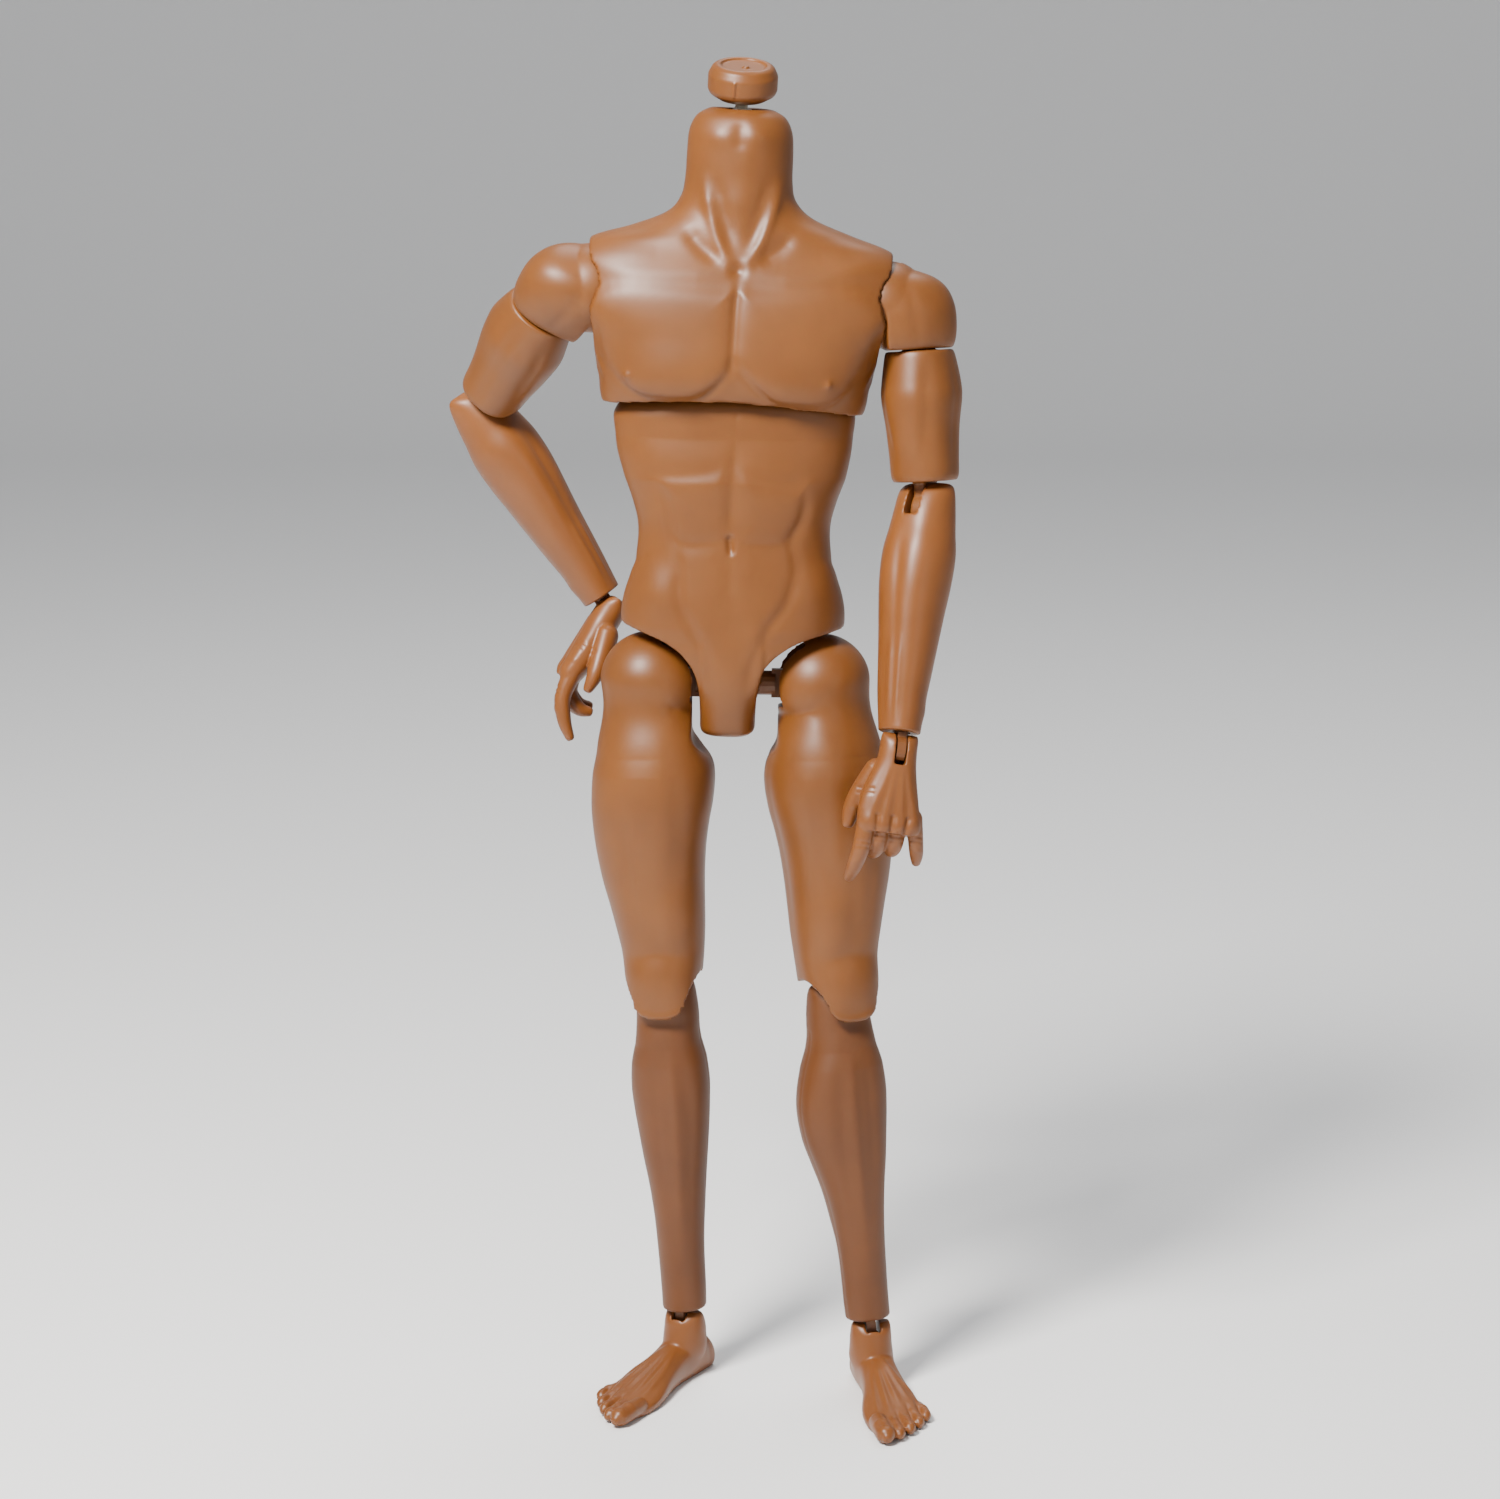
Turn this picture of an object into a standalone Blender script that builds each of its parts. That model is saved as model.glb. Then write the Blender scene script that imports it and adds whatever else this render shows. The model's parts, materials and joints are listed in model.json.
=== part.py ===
"""Jointed 1:6 scale male doll body without a head, standing with one hand on the hip.

Every piece is built in the frame of the joint that carries it, in millimetres, -Z running
down the limb, -Y to the front.  `side` is -1 for the doll's right limbs and +1 for its left.
"""
import math

import bmesh
import bpy
from mathutils import Matrix, Vector

MM = 0.001
GAP = 0.3                     # running clearance between two pieces
RING = 16                     # points round a limb section
TORSO_RING = 26
STEPS = 3                     # rings drawn between two named sections

# ---------------------------------------------------------------- pose of the frames (mm, degrees)
FLOOR_CENTRE = (-9.98, -8.51)   # middle of the object's footprint, moved to the origin
PELVIS_AT, PELVIS_ROLL = (-3.75, 0.0, 160.0), 0.9
BEND_AT, CHEST_ROLL = (-3.9, 0.0, 208.0), 3.2
NECK_AT = (-1.4, 1.0, 58.0)   # in the chest frame
HEAD_AT, HEAD_TILT = (-1.6, 1.0, 72.4), 14.0
SHOULDER_AT = (30.67, 0.0, 27.9)
SHOULDER_CUT = 5.7            # slope of the flat shoulder end
HIP_X, HIP_Z = {-1: -17.3, 1: 18.8}, -6.0   # in the pelvis frame
ARM_AT = (6.5, 0.0, -9.8)     # swivel seam in the shoulder cap frame
UPPER_ARM, FOREARM, WRIST_DROP = 33.9, 46.7, 4.0
THIGH, SHIN, SOLE = 70.3, 73.1, 11.0
SWING = {-1: 38.0, 1: -6.0}
ABDUCT = {-1: 22.5, 1: 6.1}
ARM_TURN = {-1: 53.0, 1: -36.0}
ELBOW_FLEX = {-1: 71.0, 1: 17.0}
HAND_TURN = {-1: -136.0, 1: 44.0}
HAND_BACK = {-1: 67.0, 1: -5.0}
KNEE_AT = {-1: (-18.0, -3.0, 83.95), 1: (19.0, -5.5, 83.75)}
ANKLE_AT = {-1: (-14.2, -2.0, SOLE), 1: (26.2, -9.5, SOLE)}
LEG_YAW = {-1: -10.0, 1: 24.0}
FOOT_YAW = {-1: -30.0, 1: 11.0}

# ---------------------------------------------------------------- joint sizes (mm)
BALL, SOCKET = 9.3, 9.6       # shoulder ball and the cup it turns in
HIP_BALL, HIP_SOCKET = 11.0, 11.3
PIN, PIN_BORE = 1.0, 1.3
TONGUE, TONGUE_R = 1.5, 3.0   # half thickness and end radius of the shoulder and hip tongues
ELBOW_TONGUE, ELBOW_R = 1.4, 2.7
KNEE_TONGUE, KNEE_SLOT, KNEE_R = 1.65, 2.15, 3.4
SMALL_TONGUE, SMALL_R = 0.9, 1.8


# ---------------------------------------------------------------- scene helpers
def clear_scene():
    for old in list(bpy.data.objects):
        bpy.data.objects.remove(old, do_unlink=True)


def plastic(name, colour, rough, metal=0.0):
    mat = bpy.data.materials.new(name)
    mat.use_nodes = True
    shader = mat.node_tree.nodes["Principled BSDF"]
    shader.inputs["Base Color"].default_value = (*colour, 1.0)
    shader.inputs["Roughness"].default_value = rough
    shader.inputs["Metallic"].default_value = metal
    mat.diffuse_color = (*colour, 1.0)
    return mat


def empty(name, parent, local):
    node = bpy.data.objects.new(name, None)
    node.empty_display_size = 4 * MM
    BODY.objects.link(node)
    node.parent = parent
    node.matrix_local = local
    return node


def at(xyz, *turns):
    """Local matrix: a place in mm, then turns given as ("X", degrees)."""
    out = Matrix.Translation(Vector(xyz) * MM)
    for axis, degrees in turns:
        out = out @ Matrix.Rotation(math.radians(degrees), 4, axis)
    return out


def mesh_object(name, parent, bm, mat=None, cutter=False):
    bmesh.ops.recalc_face_normals(bm, faces=bm.faces)
    for vert in bm.verts:
        vert.co *= MM
    mesh = bpy.data.meshes.new(name)
    bm.to_mesh(mesh)
    bm.free()
    for poly in mesh.polygons:
        poly.use_smooth = not cutter
    ob = bpy.data.objects.new(name, mesh)
    (CUTTERS if cutter else BODY).objects.link(ob)
    ob.parent = parent
    if cutter:
        ob.hide_render = True
        ob.display_type = "WIRE"
    elif mat:
        mesh.materials.append(mat)
    return ob


def boolean(ob, tool, operation="DIFFERENCE"):
    mod = ob.modifiers.new(tool.name, "BOOLEAN")
    mod.operation = operation
    mod.solver = "EXACT"
    mod.object = tool


# ---------------------------------------------------------------- shape helpers
def spline(rows, steps=STEPS):
    """Catmull-Rom rows between the named rows."""
    out = []
    for i in range(len(rows) - 1):
        p0, p1 = rows[max(i - 1, 0)], rows[i]
        p2, p3 = rows[i + 1], rows[min(i + 2, len(rows) - 1)]
        for k in range(steps):
            t = k / steps
            out.append([0.5 * (2 * b + (c - a) * t + (2 * a - 5 * b + 4 * c - d) * t * t
                               + (3 * b - a - 3 * c + d) * t ** 3)
                        for a, b, c, d in zip(p0, p1, p2, p3)])
    out.append(list(rows[-1]))
    return out


def close_ends(bm, loops):
    """Close the first and the last loop with a fan about its middle."""
    for loop in (loops[0], loops[-1]):
        middle = bm.verts.new(sum((v.co for v in loop), Vector()) / len(loop))
        for k in range(len(loop)):
            bm.faces.new((loop[k], loop[(k + 1) % len(loop)], middle))


def stack(rows, ring=RING, steps=STEPS, side=1, arch=None):
    """Loft of oval sections stacked in Z.

    A row is (z, inner, outer, front, back, fullness): the reach towards the body's middle, away
    from it, to the front and to the back.  `side` puts outer on +X (left limb) or -X.
    """
    bm = bmesh.new()
    loops = []
    for z, inner, outer, front, back, full in spline(rows, steps):
        loop = []
        for k in range(ring):
            a = 2 * math.pi * (k + 0.5) / ring
            c, s = math.cos(a), math.sin(a)
            x = math.copysign(abs(c) ** (2 / full), c) * (outer if c > 0 else inner)
            y = math.copysign(abs(s) ** (2 / full), s) * (back if s > 0 else front)
            dz = arch(x, y, z) if arch else 0.0
            loop.append(bm.verts.new((x * side, y, z + dz)))
        loops.append(loop)
    for lo, hi in zip(loops, loops[1:]):
        for k in range(ring):
            bm.faces.new((lo[k], lo[(k + 1) % ring], hi[(k + 1) % ring], hi[k]))
    close_ends(bm, loops)
    return bm


def turned(profile, axis="Z", segments=16):
    """Solid of revolution.  The profile lists (height, radius) and starts and ends at radius 0."""
    bm = bmesh.new()
    rings = []
    for h, r in profile:
        if r == 0:
            rings.append([bm.verts.new((0, 0, h))])
        else:
            rings.append([bm.verts.new((r * math.cos(math.pi * (2 * k + 1) / segments),
                                        r * math.sin(math.pi * (2 * k + 1) / segments), h))
                          for k in range(segments)])
    for lo, hi in zip(rings, rings[1:]):
        for k in range(segments):
            j = (k + 1) % segments
            if len(lo) == 1:
                bm.faces.new((lo[0], hi[j], hi[k]))
            elif len(hi) == 1:
                bm.faces.new((lo[k], lo[j], hi[0]))
            else:
                bm.faces.new((lo[k], lo[j], hi[j], hi[k]))
    if axis != "Z":
        turn = Matrix.Rotation(math.radians(90), 4, "Y" if axis == "X" else "X")
        bmesh.ops.transform(bm, matrix=turn, verts=bm.verts)
    return bm


def ball_profile(radius, low=-1.0, rings=8):
    """Half circle from -radius to +radius, or from low * radius upwards."""
    start = math.asin(max(-1.0, low))
    points = []
    for k in range(rings + 1):
        a = start + (math.pi / 2 - start) * k / rings
        points.append((radius * math.sin(a), 0.0 if k == rings else radius * math.cos(a)))
    if low <= -1.0:
        points[0] = (-radius, 0.0)
    return points


def cylinder(radius, low, high, axis="Z", segments=16):
    return turned([(low, 0), (low, radius), (high, radius), (high, 0)], axis, segments)


def box(x0, x1, y0, y1, z0, z1):
    bm = bmesh.new()
    bmesh.ops.create_cube(bm, size=1.0)
    for v in bm.verts:
        v.co = Vector(((x0 + x1) / 2 + v.co.x * (x1 - x0),
                       (y0 + y1) / 2 + v.co.y * (y1 - y0),
                       (z0 + z1) / 2 + v.co.z * (z1 - z0)))
    return bm


def plate(outline, half, axis="Y", centre=0.0):
    """Flat plate of the outline: (x, z) for axis Y, (y, z) for axis X."""
    bm = bmesh.new()
    rows = []
    for d in (-half, half):
        rows.append([bm.verts.new((u, centre + d, v) if axis == "Y" else (centre + d, u, v))
                     for u, v in outline])
    n = len(outline)
    for k in range(n):
        bm.faces.new((rows[0][k], rows[0][(k + 1) % n], rows[1][(k + 1) % n], rows[1][k]))
    bm.faces.new(rows[0])
    bm.faces.new(rows[1])
    return bm


def tongue_outline(radius, reach, points=9):
    """Round end about the pin, straight sides up to `reach` along +v."""
    arc = [(radius * math.cos(a), radius * math.sin(a))
           for a in (math.pi + math.pi * k / (points - 1) for k in range(points))]
    return arc + [(radius, reach), (-radius, reach)]


def broad_tongue(radius, front, reach, points=7):
    """Tongue whose front half is a wider disc, so that it fills its slot at the surface."""
    start, end = math.acos(-radius / front), math.radians(235)
    fore = [start + (end - start) * k / points for k in range(points + 1)]
    rear = [math.radians(300 + 60 * k / 4) for k in range(5)]
    return ([(front * math.cos(a), front * math.sin(a)) for a in fore]
            + [(radius * math.cos(a), radius * math.sin(a)) for a in rear]
            + [(radius, reach), (-radius, reach)])


def lay(outline, direction):
    """Turn an outline drawn towards +v so that it runs towards +u or -u."""
    return [(direction * v, u) for u, v in outline]


def tube(points, ring=8):
    """Round tube with domed ends through (x, y, z, across, thick) points; across lies along X."""
    bm = bmesh.new()
    rows = spline(points, 1)
    loops = []
    for i, row in enumerate(rows):
        here = Vector(row[:3])
        nxt = Vector(rows[min(i + 1, len(rows) - 1)][:3])
        prv = Vector(rows[max(i - 1, 0)][:3])
        along = (nxt - prv).normalized()
        across = Vector((1, 0, 0)) - along * along.x
        across.normalize()
        thick = along.cross(across)
        loops.append([bm.verts.new(here + across * (row[3] * math.cos(math.pi * (2 * k + 1) / ring))
                                   + thick * (row[4] * math.sin(math.pi * (2 * k + 1) / ring)))
                      for k in range(ring)])
    for lo, hi in zip(loops, loops[1:]):
        for k in range(ring):
            bm.faces.new((lo[k], lo[(k + 1) % ring], hi[(k + 1) % ring], hi[k]))
    close_ends(bm, loops)
    return bm


def piece(name, parent, bm, mat):
    return mesh_object(name, parent, bm, mat)


def cut(name, parent, bm):
    return mesh_object("cut_" + name, parent, bm, cutter=True)


def tag(side):
    return "left" if side > 0 else "right"


# ---------------------------------------------------------------- collections and materials
clear_scene()
BODY = bpy.data.collections.new("jointed_doll_body")
CUTTERS = bpy.data.collections.new("cutters")
bpy.context.scene.collection.children.link(BODY)
bpy.context.scene.collection.children.link(CUTTERS)
SKIN = plastic("brown_body_plastic", (0.26, 0.125, 0.055), 0.42)
LIMB = plastic("brown_limb_plastic", (0.25, 0.12, 0.05), 0.34)
INNER = plastic("brown_joint_plastic", (0.20, 0.095, 0.042), 0.45)
CREAM = plastic("cream_peg_plastic", (0.72, 0.62, 0.45), 0.4)
STEEL = plastic("pin_steel", (0.55, 0.55, 0.56), 0.3, 1.0)

# ---------------------------------------------------------------- frames
ROOT = empty("doll_root", None, at((-FLOOR_CENTRE[0], -FLOOR_CENTRE[1], 0.0)))
PELVIS = empty("frame_pelvis", ROOT, at(PELVIS_AT, ("Y", PELVIS_ROLL)))
WORLD = {"root": Matrix.Identity(4), "pelvis": at(PELVIS_AT, ("Y", PELVIS_ROLL))}
WORLD["chest"] = at(BEND_AT, ("Y", CHEST_ROLL))


def joint(name, parent, parent_world, world):
    node = empty(name, parent, parent_world.inverted() @ world)
    return node, world


BEND, _ = joint("joint_torso_bend", PELVIS, WORLD["pelvis"], WORLD["chest"])
CHEST, _ = joint("joint_torso_turn", BEND, WORLD["chest"], WORLD["chest"])
NECK = empty("joint_neck_turn", CHEST, at(NECK_AT))
HEAD = empty("joint_head_tilt", NECK, at(Vector(HEAD_AT) - Vector(NECK_AT), ("X", HEAD_TILT)))


def leg_frame(origin, target, yaw):
    """Frame at origin whose -Z runs to the target and whose X is turned by yaw about Z."""
    z = (Vector(origin) - Vector(target)).normalized()
    x = Vector((math.cos(math.radians(yaw)), math.sin(math.radians(yaw)), 0))
    x = (x - z * x.dot(z)).normalized()
    y = z.cross(x)
    m = Matrix((x, y, z)).transposed().to_4x4()
    return Matrix.Translation(Vector(origin) * MM) @ m


# ---------------------------------------------------------------- head, neck
def head_and_neck():
    knob = piece("head_knob", HEAD, turned(
        [(-4.0, 0), (-4.0, 5.2), (-2.9, 6.7), (-1.8, 7.25), (1.2, 7.25), (2.7, 6.5), (3.3, 5.6),
         (3.3, 4.8), (2.8, 4.6), (2.8, 0)], segments=32), SKIN)
    boolean(knob, cut("knob_slot", HEAD, box(-1.7, 1.7, -3.4, 3.4, -8, 1.9)))
    boolean(knob, cut("knob_pin", HEAD, cylinder(0.9, -5.2, 9, "X", 12)))
    post = piece("neck_post", NECK, turned(
        [(-7.0, 0), (-7.0, 3.6), (-5.6, 3.6), (-5.6, 2.2), (8.5, 2.2), (8.5, 0)]), CREAM)
    fork = cut("post_tongue", HEAD, plate([(u, -v) for u, v in tongue_outline(1.8, 6.4)][::-1],
                                          1.3, "X"))
    low = Matrix.Rotation(math.radians(-HEAD_TILT), 4, "X")
    fork.matrix_local = low
    boolean(post, fork, "UNION")
    boolean(post, cut("post_pin", HEAD, cylinder(0.9, -6, 6, "X", 12)))
    piece("neck_pin", HEAD, cylinder(0.6, -4.6, 4.6, "X", 12), STEEL)


# ---------------------------------------------------------------- chest
CHEST_ROWS = [
    (4.6, 27.4, 27.4, 13.9, 12.9, 2.5), (7.0, 28.0, 28.0, 14.6, 13.2, 2.5),
    (10.5, 28.4, 28.4, 15.2, 13.6, 2.5), (14.0, 29.2, 29.2, 15.4, 14.0, 2.4),
    (18.5, 31.5, 31.5, 15.2, 14.4, 2.4), (24.0, 35.0, 35.0, 14.6, 14.6, 2.5),
    (30.0, 36.0, 36.0, 13.4, 14.2, 2.5), (35.0, 35.5, 35.5, 12.0, 12.8, 2.4),
    (38.8, 31.0, 31.0, 10.4, 11.4, 2.2), (41.5, 23.0, 23.0, 9.6, 11.2, 2.1),
    (44.6, 15.9, 14.7, 9.2, 11.2, 2.0), (48.0, 13.2, 10.9, 9.2, 11.4, 2.0),
    (52.0, 12.5, 9.9, 9.0, 11.4, 2.0), (58.0, 12.4, 9.7, 9.0, 11.2, 2.0),
    (62.0, 12.1, 9.3, 8.6, 10.8, 2.0), (65.0, 10.6, 7.8, 7.2, 9.4, 2.0),
    (66.6, 7.8, 5.0, 5.0, 7.2, 2.0)]
CAVITY_ROWS = [
    (-6.0, 26.8, 26.8, 13.2, 12.3, 2.5), (4.6, 26.8, 26.8, 13.2, 12.3, 2.5),
    (7.0, 26.7, 26.7, 13.2, 12.3, 2.5), (10.0, 25.4, 25.4, 12.6, 11.8, 2.5),
    (13.0, 20.0, 20.0, 9.0, 8.6, 2.4), (14.5, 9.0, 9.0, 5.0, 5.0, 2.2)]


def rim_arch(x, y, z):
    """The lower edge lifts by 2.4 mm in the middle of the front and of the back."""
    fade = max(0.0, 1 - abs(z - 4.6) / 9.0)
    return 2.4 * fade * max(0.0, 1 - (x / 27.3) ** 2) * min(1.0, abs(y) / 9.0)


def socket_profile():
    """Cup, neck hole and disc pocket along the shoulder axis; 0 is the ball's centre."""
    cup = [(SOCKET * math.sin(a), SOCKET * math.cos(a))
           for a in (math.radians(d) for d in range(-66, 1, 11))]
    return ([(-15.0, 0), (-15.0, 6.4), (-11.6, 6.4), (-11.6, 3.7)] + cup
            + [(8.0, SOCKET), (8.0, 0)])


def chest_halves():
    cavity = cut("chest_cavity", CHEST, stack(CAVITY_ROWS, TORSO_RING, 1))
    bore = cut("neck_bore", NECK, turned(
        [(-7.4, 0), (-7.4, 4.0), (-5.2, 4.0), (-5.2, 2.5), (6.4, 2.5), (6.8, 4.4), (12, 4.4),
         (12, 0)]))
    foot = cut("torso_shaft_bore", CHEST, turned(
        [(5, 0), (5, 3.3), (17.7, 3.3), (17.7, 4.9), (20.3, 4.9), (20.3, 0)]))
    faces, cups = [], []
    for side in (-1, 1):
        swing = SHOULDER_FRAME[side]
        faces.append(cut("shoulder_face_" + tag(side), swing,
                         box(*sorted((0, side * 30)), -30, 30, -22, 24)))
        bm = turned(socket_profile(), "X", 24)
        if side < 0:
            bmesh.ops.transform(bm, matrix=Matrix.Rotation(math.pi, 4, "Z"), verts=bm.verts)
        cups.append(cut("shoulder_cup_" + tag(side), swing, bm))
    halves = {"chest_front": (-GAP / 2, 40), "chest_back": (-40, GAP / 2)}
    for name, (y0, y1) in halves.items():
        half = piece(name, CHEST, stack(CHEST_ROWS, TORSO_RING, 1, arch=rim_arch), SKIN)
        boolean(half, cut(name + "_parting", CHEST, box(-60, 60, y0, y1, -20, 90)))
        for tool in [cavity, foot, bore] + faces + cups:
            boolean(half, tool)


def torso_post():
    post = piece("torso_post", BEND, turned(
        [(0, 0), (0, 2.9), (18.0, 2.9), (18.0, 4.5), (20.0, 4.5), (20.0, 0)]), INNER)
    boolean(post, cut("torso_barrel", BEND, cylinder(4.4, -5.5, 5.5, "Y", 24)), "UNION")


# ---------------------------------------------------------------- abdomen and pelvis
ABDOMEN_ROWS = [
    (-16.8, 5.6, 3.7, 6.0, 5.0, 2.6), (-15.6, 6.9, 5.0, 7.8, 7.0, 2.8),
    (-12.0, 7.2, 5.4, 9.2, 9.2, 2.8), (-8.0, 9.0, 7.6, 10.4, 11.4, 2.6),
    (-4.0, 16.0, 15.6, 11.2, 13.0, 2.3), (0.0, 21.4, 21.4, 11.8, 13.8, 2.4),
    (4.0, 23.2, 23.2, 12.2, 13.8, 2.4), (9.0, 23.7, 23.7, 12.2, 13.0, 2.4),
    (13.0, 23.1, 23.1, 12.0, 11.8, 2.4), (17.5, 21.7, 21.7, 11.6, 10.8, 2.4),
    (22.5, 20.5, 20.5, 11.2, 10.2, 2.4), (28.0, 20.3, 20.3, 11.0, 10.0, 2.4),
    (33.0, 21.5, 21.5, 11.4, 10.2, 2.4), (38.3, 23.4, 23.4, 11.9, 10.6, 2.4),
    (44.0, 25.5, 25.0, 12.0, 10.9, 2.4), (50.0, 26.5, 25.9, 12.0, 10.9, 2.4),
    (52.2, 26.2, 25.6, 11.9, 10.8, 2.4), (54.5, 24.6, 24.0, 11.4, 10.3, 2.4),
    (56.5, 21.2, 20.6, 9.9, 9.0, 2.3), (58.0, 14.0, 13.6, 7.6, 7.0, 2.2)]


# front outline of the leg openings in the pelvis, (x, z)
HIP_OPENING = {
    -1: [(-6.9, -30), (-6.9, -14.7), (-7.2, -6.1), (-8.3, -2.1), (-10.9, 1.5), (-14.7, 4.0),
         (-19.5, 5.8), (-23.6, 7.2), (-40, 9), (-40, -30)],
    1: [(5.0, -30), (5.0, -14.7), (5.3, -6.1), (6.4, -2.1), (9.3, 1.2), (13.0, 3.6),
        (17.8, 5.3), (23.2, 6.5), (40, 8.4), (40, -30)]}


def hip_bore():
    """Shaft bore of the hip disc from the ball's centre towards the body's middle (-X)."""
    return [(-17.1, 0), (-17.1, 2.9), (-16.1, 2.9), (-16.1, 3.9), (-13.9, 3.9), (-13.9, 2.9),
            (-9.0, 2.9), (-9.0, 0)]


def abdomen_halves():
    tools = [cut("abdomen_barrel", BEND, cylinder(4.7, -5.8, 5.8, "Y", 24)),
             cut("abdomen_throat", BEND, turned([(1, 0), (1, 4.4), (16, 5.6), (16, 0)]))]
    for side in (-1, 1):
        frame = HIP_FRAME[side]
        ball = cut("hip_socket_" + tag(side), frame, turned(ball_profile(HIP_SOCKET), "Z", 28))
        opening = cut("hip_window_" + tag(side), PELVIS, plate(HIP_OPENING[side], 30))
        bm = turned(hip_bore(), "X", 16)
        if side < 0:
            bmesh.ops.transform(bm, matrix=Matrix.Rotation(math.pi, 4, "Z"), verts=bm.verts)
        tools += [ball, opening, cut("hip_bore_" + tag(side), frame, bm)]
    for name, (y0, y1) in {"abdomen_front": (-GAP / 2, 40), "abdomen_back": (-40, GAP / 2)}.items():
        half = piece(name, PELVIS, stack(ABDOMEN_ROWS, TORSO_RING, 1), SKIN)
        boolean(half, cut(name + "_parting", PELVIS, box(-60, 60, y0, y1, -40, 90)))
        for tool in tools:
            boolean(half, tool)


# ---------------------------------------------------------------- arms
CAP_ROWS = [
    (-9.65, 0.6, 13.6, 7.4, 7.5, 2.1), (-8.0, 1.0, 14.3, 8.3, 8.4, 2.1),
    (-5.0, 1.2, 14.7, 9.0, 9.1, 2.1), (-1.0, 1.2, 14.5, 9.2, 9.2, 2.1),
    (2.6, 1.0, 13.1, 8.4, 8.4, 2.1), (5.0, 0.6, 10.6, 7.0, 7.0, 2.1),
    (6.6, 0.2, 7.0, 5.0, 5.0, 2.1)]
UPPER_ARM_ROWS = [
    (-0.15, 6.8, 6.8, 7.0, 7.4, 2.1), (-1.6, 7.2, 7.2, 7.4, 8.2, 2.1), (-6.4, 8.0, 8.0, 8.0, 9.1, 2.1),
    (-10.0, 8.2, 8.3, 8.3, 9.0, 2.1), (-15.8, 7.5, 7.4, 7.7, 8.4, 2.1),
    (-22.0, 7.1, 7.1, 7.0, 7.4, 2.2), (-26.0, 6.9, 6.9, 6.6, 7.0, 2.3),
    (-27.4, 6.4, 6.4, 6.2, 6.6, 2.3)]
FOREARM_ROWS = [
    (5.9, 5.0, 5.0, 1.8, 1.0, 2.2), (5.3, 5.9, 5.9, 3.3, 2.1, 2.2), (3.6, 6.5, 6.3, 5.1, 3.3, 2.2),
    (0.0, 6.8, 6.5, 6.2, 4.7, 2.2), (-4.2, 7.5, 6.8, 6.7, 5.8, 2.1),
    (-9.0, 8.3, 7.2, 7.3, 6.8, 2.1), (-15.0, 8.4, 6.8, 7.3, 6.9, 2.1),
    (-21.5, 7.9, 6.0, 6.8, 6.4, 2.1), (-30.0, 7.1, 5.2, 5.7, 5.5, 2.1),
    (-38.6, 6.3, 4.3, 4.8, 4.6, 2.1), (-44.0, 5.4, 4.0, 4.3, 4.1, 2.2),
    (-47.1, 4.9, 3.9, 4.1, 4.0, 2.2)]


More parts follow.
